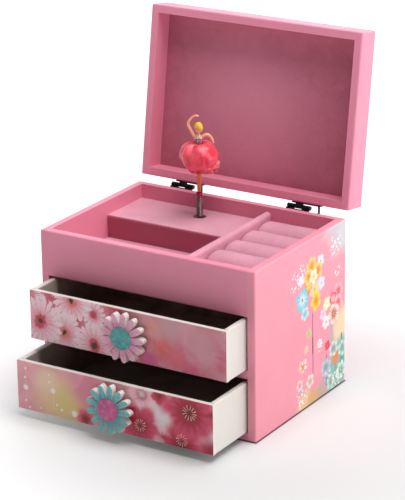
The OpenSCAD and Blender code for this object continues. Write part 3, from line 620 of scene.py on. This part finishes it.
def smooth_path(points, radii, steps=6):
    """A Catmull-Rom line through the points, with radii that follow it."""
    line, sizes = [], []
    last = len(points) - 1
    for i in range(last):
        p = [points[max(i - 1, 0)], points[i], points[i + 1], points[min(i + 2, last)]]
        for k in range(steps + (i == last - 1)):
            t = k / steps
            line.append(0.5 * (2 * p[1] + (p[2] - p[0]) * t + (2 * p[0] - 5 * p[1] + 4 * p[2] - p[3]) * t ** 2
                               + (3 * p[1] - p[0] - 3 * p[2] + p[3]) * t ** 3))
            sizes.append(radii[i] * (1 - t) + radii[i + 1] * t)
    return line, sizes


def joined(*parts):
    """Several (verts, faces) as one."""
    verts, faces = [], []
    for part_verts, part_faces in parts:
        faces += [tuple(i + len(verts) for i in face) for face in part_faces]
        verts += part_verts
    return verts, faces


def dress(shader, *nodes):
    """Gives CAD nodes a material."""
    for node in nodes:
        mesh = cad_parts[node].data
        mesh.materials.clear()
        mesh.materials.append(shader.material)


# ---------------------------------------------------------------- the wooden pieces

pink = paint("pink_paint", PINK)
white = paint("white_paint", WHITE, 0.38)
black_felt = felt("black_felt")
steel = metal("steel", linear(186, 186, 190))
brass = metal("brass", linear(214, 174, 96), 0.24, (300, 300, 300))
black_metal = lacquer("black_metal")
tray_velvet = velvet("tray_velvet", linear(236, 168, 190), 34, 0.9)
# The platform's velvet front is darkened by painted shade
platform_velvet = velvet("platform_velvet", linear(236, 170, 190), 34, 0.9, painted_light_and_shade=platform_front_shade)
# The lid's velvet is paler in the middle by a painted highlight
lid_velvet = velvet("lid_velvet", linear(204, 119, 140), 60, 0.88, 0.35, lid_painted_highlight)

dress(pink, "left_side", "back_panel", "front_rail", "base_panel", "drawer_shelf", "tray_floor",
      "lid_front", "lid_back", "lid_left", "lid_right", "lid_top")
dress(side_art(), "right_side")
dress(black_felt, "base_felt", "upper_lining", "lower_lining")
dress(white, *[f"{drawer}_{board}" for drawer in ("upper", "lower")
               for board in ("left", "right", "back", "bottom")])
dress(upper_print(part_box("upper_front")[0].y), "upper_front")
dress(lower_print(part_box("lower_front")[0].y), "lower_front")
dress(black_metal, "hinge_case_leaves", "hinge_lid_leaves", "hinge_pins")
dress(steel, "hinge_case_screws", "hinge_lid_screws", "movement_plate", "mainspring", "comb",
      "movement_screws", "upper_knob_screw", "lower_knob_screw", "winding_arbor", "dancer_shaft",
      "governor_wheel", "governor_fan")
dress(brass, "spring_drum", "movement_brackets", "crown_wheel", "winding_key", "note_cylinder")
dress(tray_velvet, "platform_top", "platform_front_board", "divider", "tray_lining", "ring_rolls")
dress(lid_velvet, "lid_lining")

# ---------------------------------------------------------------- flower knobs

PETALS = 13
PETAL_REACH = 19.6
PETAL_ROOT = 9.0
PETAL_HALF_WIDTH = 2.55
PETAL_SHOULDER = 15.8
PETAL_STAND_OFF = 2 * MM


def petal_half_width(reach):
    """Half the width of a petal at a distance from the knob's middle."""
    if reach > PETAL_SHOULDER:
        share = (reach - PETAL_SHOULDER) / (PETAL_REACH - PETAL_SHOULDER)
        return PETAL_HALF_WIDTH * math.sqrt(max(0.0, 1 - share ** 2))
    share = (reach - PETAL_ROOT) / (PETAL_SHOULDER - PETAL_ROOT)
    root = PETAL_ROOT * math.tan(math.pi / PETALS)
    return root + (PETAL_HALF_WIDTH - root) * math.sin(share * math.pi / 2)


def flower_outline(steps=9):
    """The knob's outline in its own plane: petals that meet at their roots."""
    reaches = [PETAL_ROOT + (PETAL_REACH - PETAL_ROOT) * math.sin(math.pi / 2 * k / steps)
               for k in range(1, steps)]
    side = [(reach, -petal_half_width(reach)) for reach in reaches]
    petal = [(PETAL_ROOT, -petal_half_width(PETAL_ROOT))] + side + [(PETAL_REACH, 0)]
    petal += [(x, -y) for x, y in reversed(side)]
    return [Matrix.Rotation(2 * math.pi * i / PETALS, 2) @ Vector(point)
            for i in range(PETALS) for point in petal]


def flower_knob(drawer, tip, base, light, dark):
    """The cut-out petals with eased edges, the foot that stands them off the drawer, and the domed
    centre."""
    body, node, centre_node = f"{drawer}_drawer", f"{drawer}_flower", f"{drawer}_flower_centre"
    centre = middle(node)
    low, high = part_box(node)
    outline = flower_outline()
    count = len(outline)
    ring = [Vector((centre.x + p.x * MM, y, centre.z + p.y * MM))
            for y in (low.y, high.y - PETAL_STAND_OFF) for p in outline]
    faces = [tuple(range(count)), tuple(range(2 * count - 1, count - 1, -1))]
    faces += [(k, k + count, (k + 1) % count + count, (k + 1) % count) for k in range(count)]
    shader = petal_print(f"{drawer}_petals", centre, low.y, tip, base)
    flower = piece(f"{drawer}_flower_petals", ring, faces, shader, body, f"{drawer}_petals", (node,), False)
    modify(flower, "BEVEL", width=0.45 * MM, segments=3, limit_method="ANGLE", angle_limit=math.radians(50))
    for face in flower.data.polygons:
        face.use_smooth = len(face.vertices) == 4
    modify(flower, "WEIGHTED_NORMAL")

    foot_profile = [(r * MM, h * MM) for r, h in ((4, -2.1), (6.8, -2.1), (7.0, -1.6), (7.0, 0), (4, 0))]
    foot = lathe(foot_profile, 40, lambda x, y, z: Vector((centre.x + x, high.y + z, centre.z + y)))
    piece(f"{drawer}_flower_foot", *foot, white, body, f"{drawer}_petals", (node,))

    low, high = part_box(centre_node)
    rise, radius = high.y - low.y, (high.x - low.x) / 2
    profile = [(radius * 0.985, 0.0), (radius, 0.35 * rise), (radius * 0.97, 0.7 * rise)]
    profile += [(radius * 0.97 * math.cos(a), rise * (0.7 + 0.3 * math.sin(a)))
                for a in map(math.radians, range(15, 90, 15))] + [(radius * 0.02, rise)]
    disc = lathe(profile, 56, lambda x, y, z: Vector((centre.x + x, high.y - z, centre.z + y)))
    hatch = hatch_print(f"{drawer}_centre", light, dark)
    piece(f"{drawer}_flower_disc", *disc, hatch, body, f"{drawer}_centre", (centre_node,))


flower_knob("upper", (236, 176, 204), (206, 110, 150), (112, 190, 184), (62, 150, 150))
flower_knob("lower", (124, 196, 200), (60, 150, 158), (232, 128, 176), (206, 84, 142))

# ---------------------------------------------------------------- the tray's soft pieces


def pad(name, low, high, seed):
    """A tight velvet pad lying along X: a round top, ends that turn down, and slight unevenness."""
    half = (high.y - low.y) / 2
    tall = high.z - low.z
    radius = min(PAD_ROUND_TOP, half)
    wall = [(half, low.z + (tall - radius) * k / 5) for k in range(5)]
    outline = [(-y, z) for y, z in wall]
    for k in range(PAD_ARC_STEPS + 1):
        angle = math.pi * (1 - k / PAD_ARC_STEPS)
        y = (half - radius) * (1 if angle < math.pi / 2 else -1) + radius * math.cos(angle)
        outline.append((y, high.z - radius + radius * math.sin(angle)))
    outline += reversed(wall)
    verts = []
    for i in range(PAD_STEPS + 1):
        x = low.x + (high.x - low.x) * (0.5 - 0.5 * math.cos(math.pi * i / PAD_STEPS))
        end = min(x - low.x, high.x - x)
        fall = 0.0
        if end < PAD_ROUND_END:
            fall = PAD_ROUND_END - math.sqrt(max(0.0, PAD_ROUND_END ** 2 - (PAD_ROUND_END - end) ** 2))
        for y, z in outline:
            wave = noise.noise(Vector((x * 90 + seed, y * 90, z * 90))) * PAD_UNEVEN
            height = (z - low.z) / tall
            shrink = 1 - fall / tall * height * 0.9
            tuck = 1 - 0.35 * fall / half * height
            verts.append(Vector((x, (low.y + high.y) / 2 + y * tuck + wave * 0.4,
                                 low.z + (z - low.z) * shrink + wave * height)))
    row = len(outline)
    faces = ring_faces(PAD_STEPS + 1, row)
    faces += [tuple(range(row)), tuple(range(PAD_STEPS * row + row - 1, PAD_STEPS * row - 1, -1))]
    return piece(name, verts, faces, tray_velvet, "case", "velvet")


PAD_STEPS = 44
PAD_ARC_STEPS = 26
PAD_ROUND_TOP = 10.5 * MM
PAD_ROUND_END = 5 * MM
PAD_UNEVEN = 0.25 * MM
rolls_low, rolls_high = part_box("ring_rolls")
ROLLS = 5
ROLL_GAP = 0.4 * MM
pitch = (rolls_high.y - rolls_low.y + ROLL_GAP) / ROLLS
for index in range(ROLLS):
    start = rolls_low.y + index * pitch
    roll = pad(f"ring_roll_{index + 1}", Vector((rolls_low.x, start, rolls_low.z)),
               Vector((rolls_high.x, start + pitch - ROLL_GAP, rolls_high.z)), index * 7.3)
    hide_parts("ring_rolls")


def laid_cloth(name, columns, rows, place, shader, body, hole=None):
    """A sheet of velvet glued down. place turns a column and a row, in metres along the flat cloth, into
    a point, and hole is the column, row, half side and radius of a round opening."""
    verts, faces, known = [], [], {}

    def corner(i, j):
        if (i, j) not in known:
            known[i, j] = len(verts)
            verts.append(place(columns[i], rows[j]))
        return known[i, j]

    def cut_out(i, j):
        across = (columns[i] + columns[i + 1]) / 2 - hole[0]
        along = (rows[j] + rows[j + 1]) / 2 - hole[1]
        return max(abs(across), abs(along)) < hole[2]

    missing = []
    for j in range(len(rows) - 1):
        for i in range(len(columns) - 1):
            if hole and cut_out(i, j):
                missing.append((i, j))
            else:
                faces.append((corner(i, j), corner(i + 1, j), corner(i + 1, j + 1), corner(i, j + 1)))
    if hole:
        (i0, j0), (i1, j1) = missing[0], [last + 1 for last in missing[-1]]
        border = [(i, j0) for i in range(i0, i1)] + [(i1, j) for j in range(j0, j1)]
        border += [(i, j1) for i in range(i1, i0, -1)] + [(i0, j) for j in range(j1, j0, -1)]
        previous = [corner(i, j) for i, j in border]
        count = len(border)
        for share in (0.4, 0.75, 0.94, 1.0):
            ring = range(len(verts), len(verts) + count)
            for i, j in border:
                across, along = columns[i] - hole[0], rows[j] - hole[1]
                scale = 1 + (hole[3] / math.hypot(across, along) - 1) * share
                drop = 0.5 * MM if share == 1.0 else 0.0
                verts.append(place(hole[0] + across * scale, hole[1] + along * scale) - Vector((0, 0, drop)))
            faces += [(previous[k], previous[(k + 1) % count], ring[(k + 1) % count], ring[k])
                      for k in range(count)]
            previous = ring
    made = piece(name, verts, faces, shader, body, "velvet")


def stations(start, *stretches):
    """Places from start on. Each stretch is the place where it ends, and its count of even steps."""
    line = [start]
    for end, count in stretches:
        line += [start + (end - start) * k / count for k in range(1, count + 1)]
        start = end
    return line


def cloth_ripple(point, strength=0.1):
    """How far glued velvet stands off its board at a place."""
    return (0.16 + strength * noise.noise(point * 70)) * MM


def wrapped(start, facing, pivot, bend, sweep, end, along):
    """A place function for cloth that faces one way at start, goes round pivot through sweep degrees and
    on to end, and whose columns go along the bend. Also the distances of the bend's points from start."""
    normals = [facing * math.cos(a) + Vector((0, 0, math.sin(a)))
               for a in map(math.radians, range(0, sweep + 1, 15))]
    outline = [start] + [pivot + normal * bend for normal in normals] + [end]
    normals = [normals[0]] + normals + [normals[-1]]
    lengths = [0.0]
    for a, b in zip(outline, outline[1:]):
        lengths.append(lengths[-1] + (b - a).length)

    def place(column, row):
        k = min(max(bisect.bisect_right(lengths, row) - 1, 0), len(outline) - 2)
        share = (row - lengths[k]) / (lengths[k + 1] - lengths[k])
        point = outline[k].lerp(outline[k + 1], share) + along * column
        normal = normals[k].lerp(normals[k + 1], share).normalized()
        return point + normal * cloth_ripple(point)

    return place, lengths


def platform_cover():
    """One piece of velvet up the front of the platform and over its top, with a hole for the spindle."""
    low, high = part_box("platform_top")
    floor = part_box("tray_lining")[1].z
    bend = 1.6 * MM
    pivot = Vector((low.x, low.y + bend, high.z - bend))
    place, lengths = wrapped(Vector((low.x, low.y, floor)), Vector((0, -1, 0)), pivot, bend, 90,
                             Vector((low.x, high.y, high.z)), Vector((1, 0, 0)))
    reach = spindle_hole + 2.5 * MM
    across, along = spindle.x - low.x, lengths[-2] + spindle.y - pivot.y
    columns = stations(0, (across - reach, 22), (across + reach, 12), (high.x - low.x, 22))
    rows = stations(0, (lengths[1], 10)) + lengths[2:-2]
    rows += stations(lengths[-2], (along - reach, 12), (along + reach, 12), (lengths[-1], 6))
    laid_cloth("platform_cover", columns, rows, place, platform_velvet, "case",
               (across, along, reach, spindle_hole))


def divider_cover():
    """Velvet over the round top of the divider and down both its faces."""
    low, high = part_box("divider")
    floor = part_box("tray_lining")[1].z
    bend = (high.x - low.x) / 2
    place, lengths = wrapped(Vector((low.x, low.y, floor)), Vector((-1, 0, 0)),
                             Vector((low.x + bend, low.y, high.z - bend)), bend, 180,
                             Vector((high.x, low.y, floor)), Vector((0, 1, 0)))
    rows = stations(0, (lengths[1], 8)) + lengths[2:-2] + stations(lengths[-2], (lengths[-1], 8))
    laid_cloth("divider_cover", stations(0, (high.y - low.y, 60)), rows, place, tray_velvet, "case")


def lining_cover(node, facing, shader, body):
    """Velvet over the broad face of a lining board that looks towards facing."""
    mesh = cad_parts[node].data
    broad = max((f for f in mesh.polygons if f.normal.dot(facing) > 0.7), key=lambda f: f.area)
    normal = broad.normal.copy()
    level = max(v.co.dot(normal) for v in mesh.vertices)
    flat = [v.co.copy() for v in mesh.vertices if level - v.co.dot(normal) < 0.01 * MM]
    across = Vector((1, 0, 0))
    up = normal.cross(across)
    left, right = min(p.x for p in flat), max(p.x for p in flat)
    low, high = min(p.dot(up) for p in flat), max(p.dot(up) for p in flat)

    def place(column, row):
        point = across * (left + column) + up * (low + row) + normal * level
        return point + normal * cloth_ripple(point, 0.14)

    laid_cloth(f"{node}_cloth", stations(0, (right - left, 60)), stations(0, (high - low, 44)), place,
               shader, body)


# ---------------------------------------------------------------- the spring and the dancer

spring_low, spring_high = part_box("dancer_spring")
spindle = middle("dancer_spring")
axis = Vector((spindle.x, spindle.y, 0))
spindle_hole = 5.0 * MM
platform_cover()
divider_cover()
lining_cover("lid_lining", Vector((0, -1, 0)), lid_velvet, "lid")
lining_cover("tray_lining", Vector((0, 0, 1)), tray_velvet, "case")


def coil_spring():
    """The close-coiled spring that stands on the shaft and holds the dancer."""
    wire, turns = 0.36 * MM, 22
    steps = turns * 28
    radius = (spring_high.x - spring_low.x) / 2 - wire
    height = spring_high.z - spring_low.z - 2 * wire
    path = []
    for k in range(steps + 1):
        angle = 2 * math.pi * turns * k / steps
        path.append(Vector((spindle.x + radius * math.cos(angle), spindle.y + radius * math.sin(angle),
                            spring_low.z + wire + height * k / steps)))
    made = piece("coil_spring", *tube(path, [wire] * len(path), 8),
                 metal("spring_wire", linear(160, 150, 144), 0.2), None, "steel", ("dancer_spring",))
    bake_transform(made)


coil_spring()

DANCER_TURN = math.radians(32)
turn = Matrix.Rotation(DANCER_TURN, 3, "Z")
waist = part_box("skirt")[1].z


def at(x, y, z):
    """A place on the dancer: x across her, y behind her, z above her waist, in millimetres."""
    return axis + turn @ Vector((x * MM, y * MM, 0)) + Vector((0, 0, waist + z * MM))


skin = moulded("doll_skin", linear(250, 178, 142))
legs_paint = moulded("doll_legs", linear(236, 138, 84))
hair_paint = moulded("doll_hair", linear(246, 206, 72), 0.4)
shoe_paint = moulded("slipper_paint", linear(190, 14, 72), 0.25)
ribbon_paint = moulded("ribbon_satin", linear(150, 16, 40), 0.3)
bodice_paint = glitter("bodice_glitter")
satin_coral = satin("coral_satin")
net_coral = net("coral_net")


def doll_piece(name, verts, faces, shader, node="dancer", slot="doll_plastic"):
    return piece(name, verts, faces, shader, "dancer", slot, (node,))


def turned(profile, depth, steps):
    """A form turned about the dancer's own axis and flattened to a share of its depth from front to
    back. The profile is in millimetres, from her waist."""
    return lathe(profile, steps, lambda x, y, z: at(x, y * depth, z))


def limb(sides, *places):
    """A tube through places on the dancer, each given as x, y, z and radius in millimetres."""
    line, radii = smooth_path([at(x, y, z) for x, y, z, _ in places], [place[3] * MM for place in places])
    return tube(line, radii, sides)


def dancer_body():
    """Legs together on their points, trunk, neck and arms."""
    legs = [limb(18, *[(side * x, y, z, radius) for x, y, z, radius in (
        (0.5, 0, -40.5, 0.95), (0.55, 0, -37, 1.05), (0.7, -0.1, -31, 1.25), (0.75, 0.1, -24, 1.15),
        (0.9, 0, -15, 1.4), (1.2, 0, -4, 1.7))]) for side in (-1, 1)]
    trunk = [(2.6, -2), (2.6, 0.2), (2.5, 1.6), (3.0, 3.2), (3.4, 4.6), (3.2, 5.7), (2.2, 6.4), (1.35, 6.8),
             (1.2, 7.6), (1.25, 9.2)]
    raised = limb(14, (-2.4, 0, 4.8, 1.3), (-4.5, 0.1, 8.0, 1.25), (-6.4, 0.2, 11.8, 1.2),
                  (-7.8, 0.2, 15.0, 1.2), (-7.3, 0.0, 18.0, 1.05), (-5.2, -0.3, 20.9, 0.85),
                  (-3.2, -0.5, 22.2, 0.75), (-1.6, -0.6, 22.6, 0.9), (0.5, -0.8, 22.0, 0.45))
    lowered = limb(14, (2.4, 0, 5.0, 1.3), (4.8, 0, 6.5, 1.3), (7.2, -0.2, 6.9, 1.3), (9.5, -0.6, 5.0, 1.2),
                   (10.8, -1.3, 2.9, 1.0), (11.3, -2.1, 1.5, 0.75), (11.5, -2.7, 0.6, 0.5))
    for name, form, shader in (("dancer_legs", joined(*legs), legs_paint),
                               ("dancer_trunk", turned(trunk, 0.72, 40), skin),
                               ("dancer_arms", joined(raised, lowered), skin)):
        made = doll_piece(name, *form, shader)
        if name != "dancer_trunk":
            modify(made, "SUBSURF", levels=1, render_levels=1)


HEAD_HEIGHT = 12.4
HEAD_RADIUS = 2.85
HEAD_STRETCH = 1.4
HEAD_YAW = -16
HEAD_NOD = math.radians(-8)
HAIR_PARTING = 24
NAPE = -54
FRINGE = 25


def head_point(across, up, out=0.0):
    """A place on the head: angles in degrees to her side and up, and a rise in millimetres."""
    a, e = math.radians(across + HEAD_YAW), math.radians(up)
    reach = HEAD_RADIUS + out
    forward, height = reach * math.cos(a) * math.cos(e) * 1.02, reach * math.sin(e) * HEAD_STRETCH
    return at(reach * math.sin(a) * math.cos(e), -forward * math.cos(HEAD_NOD) + height * math.sin(HEAD_NOD),
              HEAD_HEIGHT + height * math.cos(HEAD_NOD) + forward * math.sin(HEAD_NOD))


def head_shell(name, rows, steps, place, shader):
    """A shell about the head. place turns a row and a step round it into a point, and points that fall
    together become one."""
    verts = [place(i, k) for i in range(rows + 1) for k in range(steps)]
    made = doll_piece(name, verts, ring_faces(rows + 1, steps), shader)
    clean(made.data, weld=True)
    return made


def dancer_head():
    """A plain round head with a simple painted face."""
    rows, steps = 22, 36
    centre = at(0, 0, HEAD_HEIGHT)

    def place(i, k):
        up, across = -90 + 180 * i / rows, 360 * k / steps
        point = head_point(across, up)
        # The cheeks fill out and the chin comes forward a little
        low = max(0.0, -math.sin(math.radians(up)))
        face = max(0.0, math.cos(math.radians(across)))
        return point + (point - centre) * 0.05 * low * face

    head_shell("dancer_head", rows, steps, place, skin)
    ink = moulded("doll_ink", linear(52, 34, 30), 0.3)
    lips = moulded("doll_lips", linear(206, 60, 78), 0.3)
    dome = [(math.cos(a), math.sin(a)) for a in map(math.radians, range(0, 90, 18))]
    for name, across, up, wide, tall, shader in (
        ("dancer_eye_left", -24, 2, 0.5, 0.36, ink), ("dancer_eye_right", 24, 2, 0.5, 0.36, ink),
        ("dancer_mouth", 0, -26, 0.46, 0.16, lips), ("dancer_nose", 0, -8, 0.2, 0.24, skin),
    ):
        mark = head_point(across, up, 0.02)
        outward = (mark - centre).normalized()
        level = Vector((0, 0, 1)).cross(outward).normalized()
        upright = outward.cross(level)
        doll_piece(name, *lathe(dome, 16, lambda x, y, z: mark + level * x * wide * MM
                                + upright * y * tall * MM + outward * z * 0.12 * MM), shader)


def dancer_hair():
    """A bob that covers the back and sides of the head, in shallow locks."""
    rows, steps = 24, 60

    def place(i, k):
        across = 360 * k / steps
        facing = math.cos(math.radians(across + HAIR_PARTING))
        hem = NAPE + (FRINGE - NAPE) * max(0.0, facing) ** 0.8
        lock = 0.14 * math.sin(math.radians(across * 15)) + 0.1 * noise.noise(Vector((k * 0.5, i * 0.3, 2)))
        out = 0.55 + lock * min(1.0, i / 5) - 0.3 * (i / rows) ** 6
        return head_point(across, 90 - (90 - hem) * i / rows, out)

    hair = head_shell("dancer_hair", rows, steps, place, hair_paint)
    modify(hair, "SOLIDIFY", thickness=0.35 * MM, offset=-1.0)


def dancer_dress():
    """The glitter bodice with its ribbon, and the magenta slippers."""
    bodice = turned([(3.2, -1.4), (3.3, -0.4), (2.9, 1.0), (3.2, 2.4), (3.7, 3.8), (3.85, 5.0), (3.6, 5.7),
                     (3.0, 5.4)], 0.8, 44)
    loop = [at(3.45 * math.cos(a), 2.9 * math.sin(a), 0.1 + 0.15 * math.sin(3 * a))
            for a in [2 * math.pi * k / 40 for k in range(41)]]
    tails = [limb(8, (-1.6, -2.9, 0.1, 0.45), (-1.6 + side, -3.7, -0.9, 0.4),
                  (-1.6 + 1.3 * side, -4.6, -2.0, 0.2)) for side in (-0.7, 0.7)]
    for name, form, shader in (("dancer_bodice", bodice, bodice_paint),
                               ("dancer_ribbon", tube(loop, [0.32 * MM] * len(loop), 8), ribbon_paint),
                               ("dancer_ribbon_tails", joined(*tails), ribbon_paint)):
        doll_piece(name, *form, shader, "bodice", "bodice_glitter")
    bottom, top = (corner.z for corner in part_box("slipper"))
    sole = spring_high.z
    shoe = [(1.6, bottom), (1.6, sole - 0.1 * MM), (2.3, sole + 0.1 * MM), (2.65, sole + 0.8 * MM),
            (2.6, top - 1.6 * MM), (2.35, top - 0.5 * MM), (1.9, top)]
    slippers = lathe([(r * MM, z) for r, z in shoe], 40, lambda x, y, z: axis + Vector((x, y, z)),
                     lambda angle: 1 - 0.05 * math.cos(2 * (angle - DANCER_TURN)))
    doll_piece("dancer_slippers", *slippers, shoe_paint, "slipper", "slipper_paint")


SKIRT_STEPS = 240
SKIRT_FLARE = -8  # the height from which the layers swing and wave, in millimetres from the waist
SKIRT_PULL = math.radians(228)


def skirt_layer(name, outline, depth, gathers, frill, lean, lift, seed, shader):
    """One layer of the skirt. The outline goes from the waist to the hem, and depth says how deep
    the creases may be along the way. gathers is how many creases start at the waist, frill how far
    the hem waves, lean how far it swings to her left and lift how far it is drawn up on that side."""
    rng = random.Random(seed)
    phases = [rng.uniform(0, 2 * math.pi) for _ in range(3)]
    creases = [(2 * math.pi * (i + rng.uniform(-0.6, 0.6)) / gathers, rng.uniform(-0.5, 0.5),
                rng.uniform(0.06, 0.15), rng.uniform(0.4, 1.0), rng.uniform(0.3, 0.8))
               for i in range(gathers)]
    line, depths = smooth_path([Vector((r, 0, z)) for r, z in outline], depth, 4)
    verts = []
    hem = line[-1].z
    for i, (point, deep) in enumerate(zip(line, depths)):
        way = i / (len(line) - 1)
        t = max(0.0, min(1.0, (SKIRT_FLARE - point.z) / (SKIRT_FLARE - hem)))
        for k in range(SKIRT_STEPS):
            angle = 2 * math.pi * k / SKIRT_STEPS
            crease = 0.0
            for start, drift, width, share, reach in creases:
                apart = math.remainder(angle - start - drift * way, 2 * math.pi) / (width * (1 + 1.3 * way))
                crease = max(crease, share * math.exp(-apart ** 2) * max(0.0, 1 - (way / reach) ** 2))
            # The gathers are pulled tight in front on her right and lie smooth on her left
            crease *= 0.35 + 0.65 * max(0.0, math.cos(angle - SKIRT_PULL)) ** 2
            lump = noise.noise(Vector((1.9 * math.cos(angle), 1.9 * math.sin(angle), 0.16 * point.z + seed)))
            wave = math.sin(14 * angle + phases[0] + 1.6 * math.sin(2 * angle + phases[1]))
            r = point.x - deep * crease + 2.0 * lump * min(1.0, point.x / 12) + frill * t ** 2 * wave
            beside = max(0.0, math.cos(angle - 0.25))
            z = point.z + t ** 2 * (lift * beside ** 2 + 0.5 * frill * wave)
            z += 0.5 * t * math.sin(2 * angle + phases[2])
            verts.append(at(r * math.cos(angle) + lean * t ** 1.5, r * math.sin(angle), z))
    made = doll_piece(name, verts, ring_faces(len(line), SKIRT_STEPS), shader, "skirt", "tulle")
    drop = sum((b - a).length for a, b in zip(line, line[1:])) * MM


def dancer_skirt():
    """A puffed outer layer over three flounces whose hems show under it on her left."""
    skirt_layer("skirt_outer",
                [(3.0, -0.8), (4.6, 0.4), (8.2, 0.5), (12.2, -1.8), (14.6, -6.0), (15.1, -10.4),
                 (14.0, -15.0), (11.6, -19.0), (9.6, -20.8)],
                [0.3, 1.4, 3.2, 3.8, 3.6, 3.0, 2.4, 1.6, 1.0], 13, 0.25, 1.6, 4.4, 21, satin_coral)
    for index, (reach, hem) in enumerate(((12.4, -18.6), (11.5, -20.6), (11.0, -22.4))):
        skirt_layer(f"skirt_under_{index + 1}",
                    [(3.0, -1.8), (5.0, -4.0), (7.0, -8.0), (reach - 4.0, -12.0), (reach - 1.4, hem + 2.6),
                     (reach, hem)],
                    [0.1, 0.2, 0.2, 0.3, 0.5, 0.6], 9, 0.6, 3.6, 1.8 - 0.4 * index, 5 + index, net_coral)


dancer_body()
dancer_head()
dancer_hair()
dancer_dress()
dancer_skirt()

# ---------------------------------------------------------------- studio


def studio():
    """A pale seamless floor, a large soft light overhead and a smaller one from the right."""
    steps = 16
    curve = [math.pi / 2 * k / steps for k in range(steps + 1)]
    profile = [(-FLOOR_HALF, 0.0)] + [(WALL_AT - SWEEP * (1 - math.sin(a)), SWEEP * (1 - math.cos(a)))
                                      for a in curve] + [(WALL_AT, WALL_TOP)]
    mesh = bpy.data.meshes.new("floor")
    mesh.from_pydata([(x, y, z) for y, z in profile for x in (-FLOOR_HALF, FLOOR_HALF)], [],
                     [(2 * i, 2 * i + 1, 2 * i + 3, 2 * i + 2) for i in range(len(profile) - 1)])
    for face in mesh.polygons:
        face.use_smooth = True
    floor = in_scene("floor", mesh)
    shader = Shader("floor_paper", Roughness=0.6, Specular_IOR_Level=0.2)
    x, y, _ = shader.axes()
    # A painted contact shadow: the floor is dark just round the case's foot, where hardly any light gets in
    low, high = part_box("right_side")
    past_side = shader.minus(shader.math("ABSOLUTE", x), high.x)
    from_middle = shader.math("ABSOLUTE", shader.minus(y, (low.y + high.y) / 2))
    past_end = shader.minus(from_middle, (high.y - low.y) / 2)
    clear = shader.remap(shader.math("MAXIMUM", past_side, past_end), 0.0, 1.6 * MM)
    pale = shader.mix(shader.clouds(3, 2), (0.655, 0.66, 0.667, 1), (0.675, 0.68, 0.687, 1))
    # The paper glows more the farther it is from the box: painted light, which leaves a painted shadow round
    # it
    distance, _ = shader.spot(x, y, (150, 0), 1000)
    near, far = (shader.remap(distance, *ramp) for ramp in ((0.08, 0.47, 0.0, 0.52), (0.5, 1.8, 0.0, 0.5)))
    shader.set(Base_Color=shader.mix(clear, (0.16, 0.13, 0.13, 1), pale),
               Emission_Color=(1.0, 1.0, 1.0, 1.0), Emission_Strength=shader.math("ADD", near, far))
    mesh.materials.append(shader.material)
    for name, place, size, power, colour in LIGHTS:
        light = bpy.data.lights.new(name, "AREA")
        light.energy, light.color, light.size = power, colour, size
        lamp = in_scene(name, light)
        lamp.location = place
        lamp.rotation_euler = (LIGHT_AIM - Vector(place)).to_track_quat("-Z", "Y").to_euler()
    world = bpy.data.worlds.new("studio")
    bpy.context.scene.world = world
    world.use_nodes = True
    background = world.node_tree.nodes["Background"].inputs
    background["Color"].default_value = (1.0, 1.0, 1.0, 1.0)
    background["Strength"].default_value = WORLD_STRENGTH


FLOOR_HALF = 14.0
WALL_AT = 4.0
WALL_TOP = 5.0
SWEEP = 1.2
LIGHT_AIM = Vector((0.0, 0.0, 0.1))
LIGHTS = (
    ("key", (1.85, 0.22, 0.5), 1.0, 8.5, (1.0, 0.97, 0.9)),
    ("top", (0.45, 0.05, 1.8), 1.4, 37.0, (1.0, 0.99, 0.98)),
)
WORLD_STRENGTH = 0.09
AZIMUTH = math.radians(32.056)
ELEVATION = math.radians(19.823)
ROLL = math.radians(-0.78)
DISTANCE = 1.7976
TARGET = Vector((7.63, 0.0, 115.15)) * MM
LENS = 168.99


def camera():
    """The camera looks at the box from the front right, a little above."""
    back = Vector((math.sin(AZIMUTH) * math.cos(ELEVATION), -math.cos(AZIMUTH) * math.cos(ELEVATION),
                   math.sin(ELEVATION)))
    right = Vector((math.cos(AZIMUTH), math.sin(AZIMUTH), 0))
    up = back.cross(right)
    tilted_right = math.cos(ROLL) * right + math.sin(ROLL) * up
    tilted_up = math.cos(ROLL) * up - math.sin(ROLL) * right
    data = bpy.data.cameras.new("camera")
    data.lens = LENS
    data.sensor_width = 36.0
    made = in_scene("camera", data)
    facing = Matrix((tilted_right, tilted_up, back)).transposed().to_4x4()
    made.matrix_world = Matrix.Translation(TARGET + back * DISTANCE) @ facing
    bpy.context.scene.camera = made


studio()
camera()
bpy.context.scene.view_settings.view_transform = "Standard"
